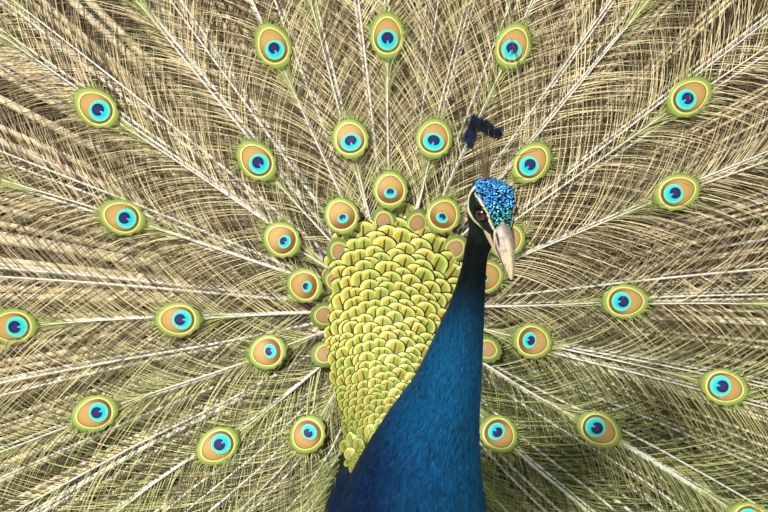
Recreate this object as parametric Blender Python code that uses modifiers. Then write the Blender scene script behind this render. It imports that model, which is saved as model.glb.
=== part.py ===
"""An Indian peacock in full display, life size, as a still model of separate solids.

Metres, +Z up, the floor at z = 0. The bird faces -Y, and its left side is at +X. The train stands
as a shallow dish round a hub above the rump, the neck leans to the bird's left, and the head is
turned a little that way with the bill lowered.
"""
import math

import bmesh
import bpy
from mathutils import Matrix, Vector

# ---------------------------------------------------------------- driving dimensions
GAP = 0.0004                      # clear space between touching solids
MODEL = "peacock"

TRUNK_FRONT, TRUNK_BACK = -0.205, 0.175   # breast and rump along Y
TRUNK_HALF_WIDTH = 0.092
TRUNK_UP, TRUNK_DOWN = 0.101, 0.110       # from the trunk's axis to back and belly
TRUNK_AXIS_Z = 0.302                      # height of the axis at the breast
TRUNK_AXIS_RISE = 0.062                   # how much higher it is at the rump
TRUNK_SKEW = 0.022                        # the breast is turned this far to the bird's left

# Neck stations from the breast up: centre x, y, z, half width, half depth.
NECK = [
    (0.016, -0.080, 0.285, 0.070, 0.070),
    (0.0215, -0.122, 0.345, 0.0785, 0.073),
    (0.0288, -0.146, 0.394, 0.0665, 0.064),
    (0.0408, -0.163, 0.445, 0.0510, 0.052),
    (0.0516, -0.180, 0.482, 0.0392, 0.044),
    (0.0598, -0.203, 0.526, 0.0305, 0.0345),
    (0.0698, -0.234, 0.582, 0.0203, 0.0245),
    (0.0750, -0.252, 0.622, 0.0147, 0.0185),
    (0.0788, -0.266, 0.654, 0.0140, 0.0170),
    (0.0905, -0.296, 0.695, 0.0198, 0.0185),
]

HEAD_CENTRE = Vector((0.0908, -0.300, 0.6990))
HEAD_PITCH = math.radians(51)             # bill below the horizontal
HEAD_YAW = math.radians(20)               # bill towards the bird's left
HEAD_ROLL = math.radians(-4.5)            # the crown tipped towards its right
# Head stations from occiput to bill base: forward, centre height, half width, up, down.
HEAD = [
    (-0.0290, -0.003, 0.0080, 0.0070, 0.0100),
    (-0.0240, -0.002, 0.0142, 0.0120, 0.0180),
    (-0.0150, -0.001, 0.0208, 0.0165, 0.0250),
    (-0.0030, 0.000, 0.0236, 0.0185, 0.0285),
    (0.0080, 0.000, 0.0224, 0.0168, 0.0262),
    (0.0170, -0.001, 0.0184, 0.0130, 0.0200),
    (0.0240, -0.003, 0.0142, 0.0098, 0.0142),
    (0.0280, -0.004, 0.0116, 0.0082, 0.0112),
]
BILL_START = 0.0280
BILL_LENGTH = 0.0425
BILL_HALF_WIDTH = 0.0112
BILL_GAPE = -0.0070                       # the line of the mouth, below the head's centre
BILL_DROP = 0.0105                        # how far the tip curves down
BILL_TALL, BILL_DEEP = 0.0122, 0.0052     # upper and lower mandible at the base
EYE_RADIUS = 0.0066
EYE_PLACE = (0.0096, 0.0140, 0.0020)        # forward, sideways, up from the head's middle

CREST_ROOT = (-0.0215, -0.0035, 0.0115)   # forward, sideways, up from the head's centre
CREST_HEIGHT = 0.056
CREST_HALF_WIDTH = 0.017
CREST_TIPS = 8
CREST_THICK = 0.0010

HUB = Vector((0.0, 0.060, 0.520))         # where the train's shafts meet
TRAIN_RADIUS = 1.26
TRAIN_SPREAD = 158                        # degrees from straight up to the lowest feathers
TRAIN_SECTORS = 11
TRAIN_TIPS = 7                            # feather tips along one sector's edge
TRAIN_SHORTER = 0.78                      # how much shorter its lowest feathers are
TRAIN_INNER = 0.062
TRAIN_LEAN = 0.17                         # the dish leans back at its top by this slope
TRAIN_DISH = 0.17                         # and curves forward by this times radius squared
TRAIN_DROOP = 0.25                        # the lowest feathers come further forward
TRAIN_FLARE = 0.06                        # how far the lowest feathers bend outwards
TRAIN_THICK = 0.0008

TAIL_HUB = Vector((0.0, 0.128, 0.475))
TAIL_RADIUS = 0.43
TAIL_SPREAD = 84
TAIL_SECTORS = 3
TAIL_TIPS = 7
TAIL_INNER = 0.062
TAIL_THICK = 0.0008

SHIELD_TOP, SHIELD_BOTTOM = 0.622, 0.350  # the scaled back, above and below
SHIELD_HALF_WIDTH = 0.076
SHIELD_SHIFT = 0.002                      # its middle is a little to the bird's left
SHIELD_BULGE = 0.072                      # how far its lower end stands forward of the train
SHIELD_CLEAR = 0.0040

# The lowered arm, from shoulder to wrist: x, y, z, half width, half depth.
ARM = [
    (0.070, 0.030, 0.362, 0.016, 0.026),
    (0.094, 0.056, 0.332, 0.017, 0.040),
    (0.107, 0.074, 0.290, 0.015, 0.044),
    (0.114, 0.076, 0.250, 0.012, 0.036),
    (0.118, 0.068, 0.214, 0.006, 0.014),
]
WING_TIPS = 8                             # flight feathers shown along the wing's edge
WING_DROP, WING_FAN = 50, 34              # degrees below level, first feather, and their spread
WING_FEATHER = 0.245
WING_THICK = 0.0016

LEG_MIDDLE = 0.010                        # the legs stand either side of this, under the trunk
FOOT_X = 0.068                            # each foot from there
FOOT_Y = 0.010
HOCK = Vector((0.066, 0.052, 0.168))
KNEE = Vector((0.0605, -0.030, 0.262))
SHANK_RADIUS = 0.0062
TOE_RADIUS = 0.0062
TOE_HEIGHT = 0.0040                       # the toe's axis above the floor, so its pads are flat
# Toes: name, angle from straight ahead (outwards +), length.
TOES = [("inner", -34, 0.052), ("middle", 0, 0.072), ("outer", 36, 0.055), ("hind", 172, 0.030)]
CLAW_LENGTH = 0.013

SIDES = (("left", 1), ("right", -1))

# ---------------------------------------------------------------- scene and materials
for old in list(bpy.data.objects):
    bpy.data.objects.remove(old, do_unlink=True)

parts = bpy.data.collections.new(MODEL)
guides = bpy.data.collections.new(MODEL + "_guides")
for collection in (parts, guides):
    bpy.context.scene.collection.children.link(collection)

PALETTE = {                               # colour, roughness, metallic
    "skin_blue": ((0.010, 0.085, 0.250), 0.45, 0.2),
    "skin_dark": ((0.030, 0.035, 0.030), 0.60, 0.0),
    "horn": ((0.480, 0.360, 0.250), 0.45, 0.0),
    "eye": ((0.030, 0.014, 0.006), 0.05, 0.0),
    "crest": ((0.010, 0.035, 0.110), 0.50, 0.0),
    "gold_scale": ((0.520, 0.540, 0.090), 0.40, 0.3),
    "train": ((0.330, 0.270, 0.110), 0.60, 0.1),
    "tail": ((0.160, 0.120, 0.080), 0.70, 0.0),
    "wing": ((0.310, 0.130, 0.050), 0.65, 0.0),
    "wing_cover": ((0.400, 0.340, 0.250), 0.65, 0.0),
    "down": ((0.120, 0.090, 0.065), 0.90, 0.0),
    "leg": ((0.240, 0.200, 0.160), 0.60, 0.0),
    "claw": ((0.060, 0.045, 0.035), 0.40, 0.0),
}


def material(key):
    """One Principled material for each entry of the palette."""
    found = bpy.data.materials.get(key)
    if found:
        return found
    colour, roughness, metallic = PALETTE[key]
    made = bpy.data.materials.new(key)
    made.use_nodes = True
    shader = made.node_tree.nodes["Principled BSDF"]
    shader.inputs["Base Color"].default_value = (*colour, 1.0)
    shader.inputs["Roughness"].default_value = roughness
    shader.inputs["Metallic"].default_value = metallic
    return made


def keep(name, mesh, finish, collection=parts):
    """Put a mesh in the scene as one named sub-part."""
    thing = bpy.data.objects.new(name, mesh)
    collection.objects.link(thing)
    mesh.materials.clear()
    mesh.materials.append(material(finish))
    if collection is guides:
        thing.hide_render = True
        thing.display_type = "WIRE"
    return thing


def mesh_from(name, bm):
    """Turn a finished bmesh into a mesh whose faces point outwards."""
    bmesh.ops.recalc_face_normals(bm, faces=bm.faces)
    mesh = bpy.data.meshes.new(name)
    bm.to_mesh(mesh)
    bm.free()
    return mesh


# ---------------------------------------------------------------- shape tools
def ease(stations, t):
    """Read a list of equally spaced stations at t in 0..1 on a smooth curve through them."""
    last = len(stations) - 1
    place = min(max(t, 0.0), 1.0) * last
    i = min(int(place), last - 1)
    f = place - i
    p0 = stations[max(i - 1, 0)]
    p1, p2 = stations[i], stations[i + 1]
    p3 = stations[min(i + 2, last)]
    return [
        0.5 * (2 * b + (c - a) * f + (2 * a - 5 * b + 4 * c - d) * f * f + (3 * b - a - 3 * c + d) * f ** 3)
        for a, b, c, d in zip(p0, p1, p2, p3)
    ]


def ring(centre, side, up, half_width, rise, fall, count=18, turn=0.0):
    """A closed section: half_width to each side, rise above the centre and fall below it.

    turn starts it that many steps further round: half a step puts a flat underneath.
    """
    points = []
    for k in range(count):
        a = 2 * math.pi * (k + turn) / count
        height = rise if math.sin(a) > 0 else fall
        points.append(centre + side * (half_width * math.cos(a)) + up * (height * math.sin(a)))
    return points


def loft(name, rings):
    """One closed solid through sections that have the same number of points."""
    bm = bmesh.new()
    rows = [[bm.verts.new(p) for p in points] for points in rings]
    count = len(rows[0])
    for low, high in zip(rows, rows[1:]):
        for k in range(count):
            n = (k + 1) % count
            bm.faces.new((low[k], low[n], high[n], high[k]))
    bm.faces.new(rows[0])
    bm.faces.new(rows[-1])
    return mesh_from(name, bm)


def sheet(name, rows):
    """An open grid through rows of points, for a curved sheet."""
    bm = bmesh.new()
    grid = [[bm.verts.new(p) for p in row] for row in rows]
    for low, high in zip(grid, grid[1:]):
        for k in range(len(low) - 1):
            bm.faces.new((low[k], low[k + 1], high[k + 1], high[k]))
    mesh = bpy.data.meshes.new(name)
    bm.to_mesh(mesh)
    bm.free()
    return mesh


def thicken(thing, thickness):
    """Give a sheet its thickness, half to each side."""
    solid = thing.modifiers.new("thickness", "SOLIDIFY")
    solid.thickness = thickness
    solid.offset = 0.0
    solid.use_even_offset = False


def baked(thing):
    """The evaluated mesh of an object, as a new mesh with the object's place applied."""
    bpy.context.view_layer.update()
    shown = thing.evaluated_get(bpy.context.evaluated_depsgraph_get())
    mesh = bpy.data.meshes.new_from_object(shown)
    mesh.transform(thing.matrix_world)
    return mesh


def combine(thing, other, operation):
    """Join or cut one object with another, and apply the result."""
    change = thing.modifiers.new(operation.lower(), "BOOLEAN")
    change.operation = operation
    change.solver = "EXACT"
    change.object = other
    mesh = baked(thing)
    thing.modifiers.clear()
    finish = thing.data.materials[0]
    thing.data = mesh
    mesh.materials.clear()
    mesh.materials.append(finish)


def swollen(thing, name):
    """A guide that is the same shape as thing, larger by the gap all round."""
    mesh = baked(thing)
    bm = bmesh.new()
    bm.from_mesh(mesh)
    bm.normal_update()
    for vertex in bm.verts:
        vertex.co += vertex.normal * GAP
    bm.to_mesh(mesh)
    bm.free()
    return keep(name, mesh, "skin_dark", guides)


def sliced(name, source, finish, planes):
    """The piece of a solid on the inner side of every plane, each given as point and outward normal."""
    bm = bmesh.new()
    bm.from_mesh(source)
    for point, normal in planes:
        everything = bm.verts[:] + bm.edges[:] + bm.faces[:]
        cut = bmesh.ops.bisect_plane(
            bm, geom=everything, plane_co=point, plane_no=normal, clear_outer=True, dist=1e-7)
        edges = [e for e in cut["geom_cut"] if isinstance(e, bmesh.types.BMEdge)]
        bmesh.ops.contextual_create(bm, geom=edges)
    return keep(name, mesh_from(name, bm), finish)


# ---------------------------------------------------------------- trunk, neck and head as one form
X, Y, Z = Vector((1, 0, 0)), Vector((0, 1, 0)), Vector((0, 0, 1))


def trunk_section(t, count=22):
    """The trunk's section at t, from the breast (0) to the rump (1): an egg, fuller in front."""
    girth = max(math.sin(math.pi * t ** 0.75), 0.0) ** 0.62
    centre = Vector((
        TRUNK_SKEW * (1 - t),
        TRUNK_FRONT + (TRUNK_BACK - TRUNK_FRONT) * t,
        TRUNK_AXIS_Z + TRUNK_AXIS_RISE * t * t,
    ))
    return ring(centre, X, Z, TRUNK_HALF_WIDTH * girth, TRUNK_UP * girth, TRUNK_DOWN * girth, count)


def neck_section(t, count=18):
    """The neck's section at t, from inside the breast (0) to inside the head (1)."""
    here, ahead, behind = (Vector(ease(NECK, min(max(t + d, 0), 1))[:3]) for d in (0, 0.02, -0.02))
    along = (ahead - behind).normalized()
    side = (X - along * X.dot(along)).normalized()
    front = along.cross(side)
    half_width, half_depth = ease(NECK, t)[3:]
    return ring(here, side, front, half_width, half_depth, half_depth, count)


HEAD_TURN = (
    Matrix.Rotation(HEAD_ROLL, 3, "Y") @ Matrix.Rotation(HEAD_YAW, 3, "Z") @ Matrix.Rotation(HEAD_PITCH, 3, "X")
)


def in_head(forward, sideways, up):
    """A place in the head's own directions: towards the bill, the bird's left, and the crown."""
    return HEAD_CENTRE + HEAD_TURN @ Vector((sideways, -forward, up))


def head_section(station, count=18):
    """One of the head's sections across its length."""
    forward, height, half_width, rise, fall = station
    centre = in_head(forward, 0, height)
    side = HEAD_TURN @ X
    up = HEAD_TURN @ Z
    return ring(centre, side, up, half_width, rise, fall, count)


TRUNK_STEPS = [0.004, 0.03, 0.09, 0.18, 0.28, 0.39, 0.5, 0.61, 0.72, 0.82, 0.91, 0.97, 0.996]
body = keep("body_guide", loft("trunk", [trunk_section(t) for t in TRUNK_STEPS]), "skin_blue", guides)
neck_form = keep("neck_guide", loft("neck", [neck_section(k / 15) for k in range(16)]), "skin_blue", guides)
head_form = keep("head_guide", loft("head", [head_section(s) for s in HEAD]), "skin_blue", guides)
trunk_clearance = swollen(body, "trunk_clearance")
neck_clearance = swollen(neck_form, "neck_clearance")
combine(body, neck_form, "UNION")
combine(body, head_form, "UNION")

for side_name, way in SIDES:
    forward, sideways, up = EYE_PLACE
    bm = bmesh.new()
    bmesh.ops.create_uvsphere(bm, u_segments=12, v_segments=8, radius=EYE_RADIUS)
    bmesh.ops.transform(bm, verts=bm.verts, matrix=Matrix.Translation(in_head(forward, way * sideways, up)))
    eye = keep("eye_" + side_name, mesh_from("eye_" + side_name, bm), "eye")
    socket = swollen(eye, "socket_" + side_name)
    combine(body, socket, "DIFFERENCE")


def neck_plane(t, towards=Vector()):
    """A cut across the neck at t: its point and its direction up the neck, tipped towards another."""
    here, ahead, behind = (Vector(ease(NECK, t + d)[:3]) for d in (0, 0.02, -0.02))
    along = (ahead - behind).normalized()
    return here, (along + towards).normalized()


CUTS = {
    "base": (Vector((0.02, -0.118, 0.385)), Vector((0.0, -0.62, 0.78)).normalized()),
    "low": neck_plane(0.44),
    "mid": neck_plane(0.62),
    "top": neck_plane(0.93, HEAD_TURN @ Z),
}


def above(cut):
    """The plane that keeps what lies up the neck from a cut."""
    point, along = CUTS[cut]
    return point + along * (GAP / 2), -along


def below(cut):
    """The plane that keeps what lies down the neck from a cut."""
    point, along = CUTS[cut]
    return point - along * (GAP / 2), along


sliced("trunk", body.data, "skin_blue", [below("base")])
sliced("neck_lower", body.data, "skin_blue", [above("base"), below("low")])
sliced("neck_middle", body.data, "skin_blue", [above("low"), below("mid")])
sliced("neck_upper", body.data, "skin_blue", [above("mid"), below("top")])
sliced("head", body.data, "skin_blue", [above("top")])

# ---------------------------------------------------------------- bill


def bill_piece(name, upper):
    """One mandible: it tapers to the tip, the upper one longer and hooked over the lower."""
    length = BILL_LENGTH if upper else BILL_LENGTH * 0.86
    rings = []
    for k in range(7):
        t = k / 6
        taper = (1 - 0.85 * t ** 2.0)
        forward = BILL_START + GAP + length * t
        drop = BILL_GAPE - BILL_DROP * (length * t / BILL_LENGTH) ** 1.9
        width = BILL_HALF_WIDTH * taper
        tall = (BILL_TALL if upper else BILL_DEEP) * taper
        sunk = 0.0 if upper else -0.0003
        points = []
        for j in range(9):
            a = math.pi * j / 8
            height = tall * math.sin(a)
            points.append(in_head(forward, width * math.cos(a), drop + sunk + (height if upper else -height)))
        rings.append(points)
    return keep(name, loft(name, rings), "horn")


bill_piece("bill_upper", True)
bill_piece("bill_lower", False)

# ---------------------------------------------------------------- crest
crest_root = in_head(*CREST_ROOT)
CREST_ACROSS = Vector((0.90, 0.42, 0.10)).normalized()
CREST_UP = Vector((-0.06, -0.10, 0.99)).normalized()


def crest_row(height, spread, notched):
    """Points across the crest at one height; the top row dips between the feather tips."""
    points = []
    steps = 2 * CREST_TIPS
    for k in range(steps + 1):
        f = 2 * k / steps - 1
        dip = 0.0025 if notched and k % 2 == 0 else 0.0
        lift = height * (1 - 0.16 * f * f) - dip
        points.append(crest_root + CREST_ACROSS * (f * spread) + CREST_UP * lift)
    return points


crest_rows = [
    crest_row(0.0012, 0.0050, False),
    crest_row(CREST_HEIGHT * 0.45, CREST_HALF_WIDTH * 0.62, False),
    crest_row(CREST_HEIGHT * 0.72, CREST_HALF_WIDTH * 0.84, False),
    crest_row(CREST_HEIGHT, CREST_HALF_WIDTH, True),
]
crest = keep("crest", sheet("crest", crest_rows), "crest")
thicken(crest, CREST_THICK)

# ---------------------------------------------------------------- train and tail


def train_reach(degrees):
    """The train's radius at an angle from straight up: full above, shorter towards the floor."""
    a = abs(degrees)
    if a < 88:
        return TRAIN_RADIUS
    lower = min((a - 88) / (TRAIN_SPREAD - 88), 1.0)
    return TRAIN_RADIUS - TRAIN_SHORTER * math.sin(lower * math.pi / 2) ** 1.5


def train_point(degrees, radius):
    """A place on the train's dish. The lowest feathers bend outwards, clear of the thighs."""
    past_flank = min(max((radius - 0.13) / 0.20, 0.0), 1.0)
    bend = TRAIN_FLARE * abs(degrees / TRAIN_SPREAD) ** 4 * past_flank ** 2 * (3 - 2 * past_flank)
    a = math.radians(degrees * (1 - bend))
    low = max(-math.cos(a), 0.0)
    y = TRAIN_LEAN * radius * math.cos(a) - TRAIN_DISH * radius ** 2 - TRAIN_DROOP * radius * low ** 2
    return HUB + Vector((radius * math.sin(a), y, radius * math.cos(a)))


def tail_point(degrees, radius):
    """A place on the fan of stiff tail feathers that props the train from behind."""
    a = math.radians(degrees)
    y = 0.14 * radius * math.cos(a) - 0.10 * radius ** 2
    return TAIL_HUB + Vector((radius * math.sin(a), y, radius * math.cos(a)))


def sector(name, place, start, stop, inner, reach, tips, steps, thickness, finish):
    """One sector of a fan of feathers, with a scalloped outer edge."""
    rows = []
    columns = 2 * tips
    for step in steps:
        row = []
        for k in range(columns + 1):
            f = k / columns
            degrees = start + (stop - start) * f
            radius = inner + (reach(degrees) - inner) * step
            if step == 1 and k % 2 == 0:
                radius -= 0.024 * reach(degrees)
            clear = math.degrees(1.6 * GAP / radius)
            degrees = min(max(degrees, start + clear), stop - clear)
            row.append(place(degrees, radius))
        rows.append(row)
    thing = keep(name, sheet(name, rows), finish)
    thicken(thing, thickness)


span = 2 * TRAIN_SPREAD / TRAIN_SECTORS
for n in range(TRAIN_SECTORS):
    first = -TRAIN_SPREAD + n * span
    sector(f"train_{n + 1:02d}", train_point, first, first + span, TRAIN_INNER, train_reach,
           TRAIN_TIPS, (0, 0.22, 0.6, 1), TRAIN_THICK, "train")

span = 2 * TAIL_SPREAD / TAIL_SECTORS
for n, side_name in enumerate(("right", "middle", "left")):
    first = -TAIL_SPREAD + n * span
    sector("tail_" + side_name, tail_point, first, first + span, TAIL_INNER, lambda a: TAIL_RADIUS,
           TAIL_TIPS, (0, 0.5, 1), TAIL_THICK, "tail")

# ---------------------------------------------------------------- scaled back, tail root, undertail
def shield_half_width(z):
    """Half the scaled back's width at a height: blunt above, drawn in towards the shoulders."""
    if z > 0.55:
        f = (z - 0.55) / (SHIELD_TOP - 0.55)
        return SHIELD_HALF_WIDTH * max(1 - f ** 2.6, 0.0) ** 0.5
    if z > 0.48:
        return SHIELD_HALF_WIDTH
    f = (0.48 - z) / (0.48 - SHIELD_BOTTOM)
    return SHIELD_HALF_WIDTH * (1 - 0.46 * f ** 1.2)


def shield_section(k, steps, count=16):
    """The scaled back's section at one height: its back lies on the train, its front is domed."""
    z = SHIELD_BOTTOM + (SHIELD_TOP - 0.0008 - SHIELD_BOTTOM) * k / steps
    half = max(shield_half_width(z), 0.006)
    depth = 0.006 + SHIELD_BULGE * ((SHIELD_TOP - z) / (SHIELD_TOP - SHIELD_BOTTOM)) ** 0.8
    points = []
    for j in range(count):
        a = 2 * math.pi * j / count
        x = half * math.cos(a)
        across = Vector((x, 0, z - HUB.z))
        back = train_point(math.degrees(math.atan2(x, across.z)), across.length).y - SHIELD_CLEAR
        front = 0.003 + depth * max(math.sin(a), 0.0) ** 1.3
        points.append(Vector((SHIELD_SHIFT + x, back - (front if math.sin(a) > 0.01 else 0.0), z)))
    return points


for name in ("train_01", f"train_{TRAIN_SECTORS:02d}"):
    combine(bpy.data.objects[name], trunk_clearance, "DIFFERENCE")

shield = keep("back_shield", loft("back_shield", [shield_section(k, 10) for k in range(11)]), "gold_scale")
combine(shield, trunk_clearance, "DIFFERENCE")
combine(shield, neck_clearance, "DIFFERENCE")

ROOT = [                                  # tail root: x, y, z, half width, half depth
    (0.0, 0.100, 0.350, 0.058, 0.052),
    (0.0, 0.106, 0.395, 0.054, 0.045),
    (0.0, 0.106, 0.440, 0.044, 0.034),
    (0.0, 0.101, 0.485, 0.029, 0.022),
    (0.0, 0.097, 0.515, 0.011, 0.009),
]
root_rings = [ring(Vector(r[:3]), X, Y, r[3], r[4], r[4], 12) for r in (ease(ROOT, k / 5) for k in range(6))]
tail_root = keep("tail_root", loft("tail_root", root_rings), "skin_dark")
root_clearance = swollen(tail_root, "root_clearance")
combine(tail_root, trunk_clearance, "DIFFERENCE")

FLUFF = [                                 # undertail down: x, y, z, half width, half depth
    (0.0, 0.142, 0.246, 0.018, 0.016),
    (0.0, 0.146, 0.272, 0.054, 0.044),
    (0.0, 0.156, 0.330, 0.074, 0.060),
    (0.0, 0.168, 0.392, 0.068, 0.056),
    (0.0, 0.172, 0.446, 0.048, 0.038),
    (0.0, 0.166, 0.482, 0.014, 0.012),
]
fluff_rings = [ring(Vector(r[:3]), X, Y, r[3], r[4], r[4], 12) for r in (ease(FLUFF, k / 6) for k in range(7))]
undertail = keep("undertail", loft("undertail", fluff_rings), "down")
combine(undertail, trunk_clearance, "DIFFERENCE")
combine(undertail, root_clearance, "DIFFERENCE")

# ---------------------------------------------------------------- wings


def arm_section(way, t, count=12):
    """The lowered arm's section at t, from the shoulder to the wrist, close against the flank."""
    x, y, z, half_width, half_depth = ease(ARM, t)
    up = Vector((way * 0.30, 0, 1)).normalized()
    side = Vector((1, 0, -way * 0.30)).normalized()
    return ring(Vector((way * x, y, z)), side, side.cross(up), half_width, half_depth, half_depth, count)


def wing_row(way, f, count):
    """Points across the flight feathers, f = 0 at the arm and 1 at the tips."""
    points = []
    for k in range(count + 1):
        g = k / count
        base = Vector((0.124 - 0.006 * g, 0.094 + 0.044 * g, 0.240 + 0.086 * g))
        angle = math.radians(WING_DROP - WING_FAN * g)
        notch = 0.012 if f == 1 and k % 2 == 0 else 0.0
        length = WING_FEATHER + 0.045 * math.sin(math.pi * g ** 0.7) - notch
        run = Vector((0.34 + 0.06 * g, math.cos(angle) * 0.90, -math.sin(angle))).normalized()
        p = base + run * (length * f)
        points.append(Vector((way * p.x, p.y, p.z)))
    return points


for side_name, way in SIDES:
    arm = keep("wing_arm_" + side_name, loft("arm", [arm_section(way, k / 7) for k in range(8)]), "wing_cover")
    combine(arm, trunk_clearance, "DIFFERENCE")
    blade = keep("wing_" + side_name, sheet("wing", [wing_row(way, f, 2 * WING_TIPS) for f in (0, 0.5, 1)]), "wing")
    thicken(blade, WING_THICK)

# ---------------------------------------------------------------- legs


def limb(stations, sides=12, steps=8):
    """A tapered round limb through stations of x, y, z, radius."""
    rings = []
    for k in range(steps + 1):
        t = k / steps
        here, ahead, behind = (Vector(ease(stations, min(max(t + d, 0), 1))[:3]) for d in (0, 0.03, -0.03))
        along = (ahead - behind).normalized()
        side = (X - along * X.dot(along)).normalized()
        rings.append(ring(here, side, along.cross(side), *([ease(stations, t)[3]] * 3), sides, 0.5))
    return rings


def toe_way(way, degrees):
    """The direction a toe points in, on the floor."""
    a = math.radians(degrees)
    return Vector((way * math.sin(a), -math.cos(a), 0))


for side_name, way in SIDES:
    ankle = Vector((LEG_MIDDLE + way * FOOT_X, FOOT_Y, 0.016))
    hock = Vector((LEG_MIDDLE + way * HOCK.x, HOCK.y, HOCK.z))
    knee = Vector((LEG_MIDDLE + way * KNEE.x, KNEE.y, KNEE.z))
    thigh_line = [
        (*(knee + (knee - hock) * 0.30 + Z * 0.006), 0.036),
        (*knee, 0.046),
        (*knee.lerp(hock, 0.50), 0.031),
        (*knee.lerp(hock, 0.86), 0.0150),
        (*hock, 0.0100),
    ]
    thigh = keep("thigh_" + side_name, loft("thigh", limb(thigh_line, 12, 6)), "skin_dark")
    combine(thigh, trunk_clearance, "DIFFERENCE")

    start = hock + (ankle - hock).normalized() * (0.0098 + GAP)
    shank_line = [(*start, 0.0078), (*start.lerp(ankle, 0.18), SHANK_RADIUS), (*start.lerp(ankle, 0.6), SHANK_RADIUS),
                  (*start.lerp(ankle, 0.99), SHANK_RADIUS * 1.1)]
    shank = keep("shank_" + side_name, loft("shank", limb(shank_line, 10, 4)), "leg")
    shank_clearance = swollen(shank, "shank_clearance_" + side_name)
    combine(thigh, shank_clearance, "DIFFERENCE")

    foot = None
    for toe, degrees, length in TOES:
        run = toe_way(way, degrees)
        root = Vector((ankle.x, ankle.y, TOE_HEIGHT + 0.0045))
        tip = Vector((ankle.x, ankle.y, TOE_HEIGHT)) + run * length
        line = [(*root, TOE_RADIUS * 1.25), (*(root.lerp(tip, 0.34) - Z * 0.002), TOE_RADIUS * 1.04),
                (*root.lerp(tip, 0.68), TOE_RADIUS), (*tip, TOE_RADIUS * 0.76)]
        piece = keep(f"toe_{side_name}_{toe}", loft("toe", limb(line, 8, 4)), "leg", guides)
        if foot is None:
            foot = piece
        else:
            combine(foot, piece, "UNION")
        claw_root = tip + run * 0.0018
        claw_line = [
            (*claw_root, 0.0034),
            (*(claw_root + run * CLAW_LENGTH * 0.5 + Z * 0.0012), 0.0027),
            (*(claw_root + run * CLAW_LENGTH - Z * 0.0020), 0.0008),
        ]
        keep(f"claw_{side_name}_{toe}", loft("claw", limb(claw_line, 6, 3)), "claw")
    knob = keep("knob_" + side_name, loft("knob", limb([
        (*(ankle - Z * 0.010), 0.0088), (*(ankle - Z * 0.002), 0.0095), (*(ankle + Z * 0.006), 0.0080)], 12, 4)),
        "leg", guides)
    combine(foot, knob, "UNION")
    combine(foot, shank_clearance, "DIFFERENCE")
    sliced("foot_" + side_name, foot.data, "leg", [(Vector((0, 0, 0)), -Z)])

    spur_root = start.lerp(ankle, 0.52) + Vector((-way * 0.004, 0.0, 0))
    spur_way = Vector((-way * 0.55, 0.80, 0.12)).normalized()
    spur_line = [(*(spur_root + spur_way * 0.0035), 0.0042), (*(spur_root + spur_way * 0.014), 0.0030),
                 (*(spur_root + spur_way * 0.024 + Z * 0.003), 0.0007)]
    spur = keep("spur_" + side_name, loft("spur", limb(spur_line, 7, 3)), "claw")
    combine(spur, shank_clearance, "DIFFERENCE")

# ---------------------------------------------------------------- origin under the middle of the box
corners = [v.co for thing in parts.objects for v in baked(thing).vertices]
middle = Vector((
    (min(c.x for c in corners) + max(c.x for c in corners)) / 2,
    (min(c.y for c in corners) + max(c.y for c in corners)) / 2,
    0.0,
))
for thing in list(parts.objects) + list(guides.objects):
    thing.data.transform(Matrix.Translation(-middle))
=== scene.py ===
# %% [markdown]
# # An Indian peacock in full display
#
# The model is a life-size still of one bird: a blue neck in front, a back of golden scales behind it,
# and the raised train standing round both like a shallow dish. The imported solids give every
# proportion. This script dresses them: one skin over the body, then thousands of feathers.

# %% Load the frame and keep its box
import math

import bmesh
import bpy
import numpy as np
from mathutils import Matrix, Vector
from mathutils.bvhtree import BVHTree


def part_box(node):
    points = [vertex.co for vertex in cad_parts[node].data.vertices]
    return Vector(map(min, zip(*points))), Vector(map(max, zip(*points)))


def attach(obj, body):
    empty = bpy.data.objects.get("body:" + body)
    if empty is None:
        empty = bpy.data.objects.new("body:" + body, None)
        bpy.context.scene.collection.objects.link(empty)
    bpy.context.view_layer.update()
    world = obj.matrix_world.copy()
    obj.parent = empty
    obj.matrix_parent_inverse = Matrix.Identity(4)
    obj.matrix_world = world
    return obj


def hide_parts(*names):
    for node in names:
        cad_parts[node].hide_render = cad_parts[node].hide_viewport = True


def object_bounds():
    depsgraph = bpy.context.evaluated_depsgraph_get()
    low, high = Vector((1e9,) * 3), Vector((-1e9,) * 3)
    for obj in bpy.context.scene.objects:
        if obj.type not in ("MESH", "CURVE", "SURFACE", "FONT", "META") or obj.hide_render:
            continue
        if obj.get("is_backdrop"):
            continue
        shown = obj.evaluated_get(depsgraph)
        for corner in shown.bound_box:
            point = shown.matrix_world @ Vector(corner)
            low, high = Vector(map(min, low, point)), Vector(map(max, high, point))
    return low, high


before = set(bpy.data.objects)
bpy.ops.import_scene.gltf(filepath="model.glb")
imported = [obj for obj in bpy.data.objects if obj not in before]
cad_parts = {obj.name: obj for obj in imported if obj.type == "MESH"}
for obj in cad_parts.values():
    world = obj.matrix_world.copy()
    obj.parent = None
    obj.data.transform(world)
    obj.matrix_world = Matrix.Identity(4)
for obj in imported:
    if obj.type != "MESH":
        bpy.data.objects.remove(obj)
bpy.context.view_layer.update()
draw = np.random.default_rng(11)

# %% [markdown]
# ## Where things are
#
# Every feather of the train springs from one hub above the rump. The same few sizes that shaped the
# solids are named here, so that a feather can be laid on the dish by its angle and its radius.

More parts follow.
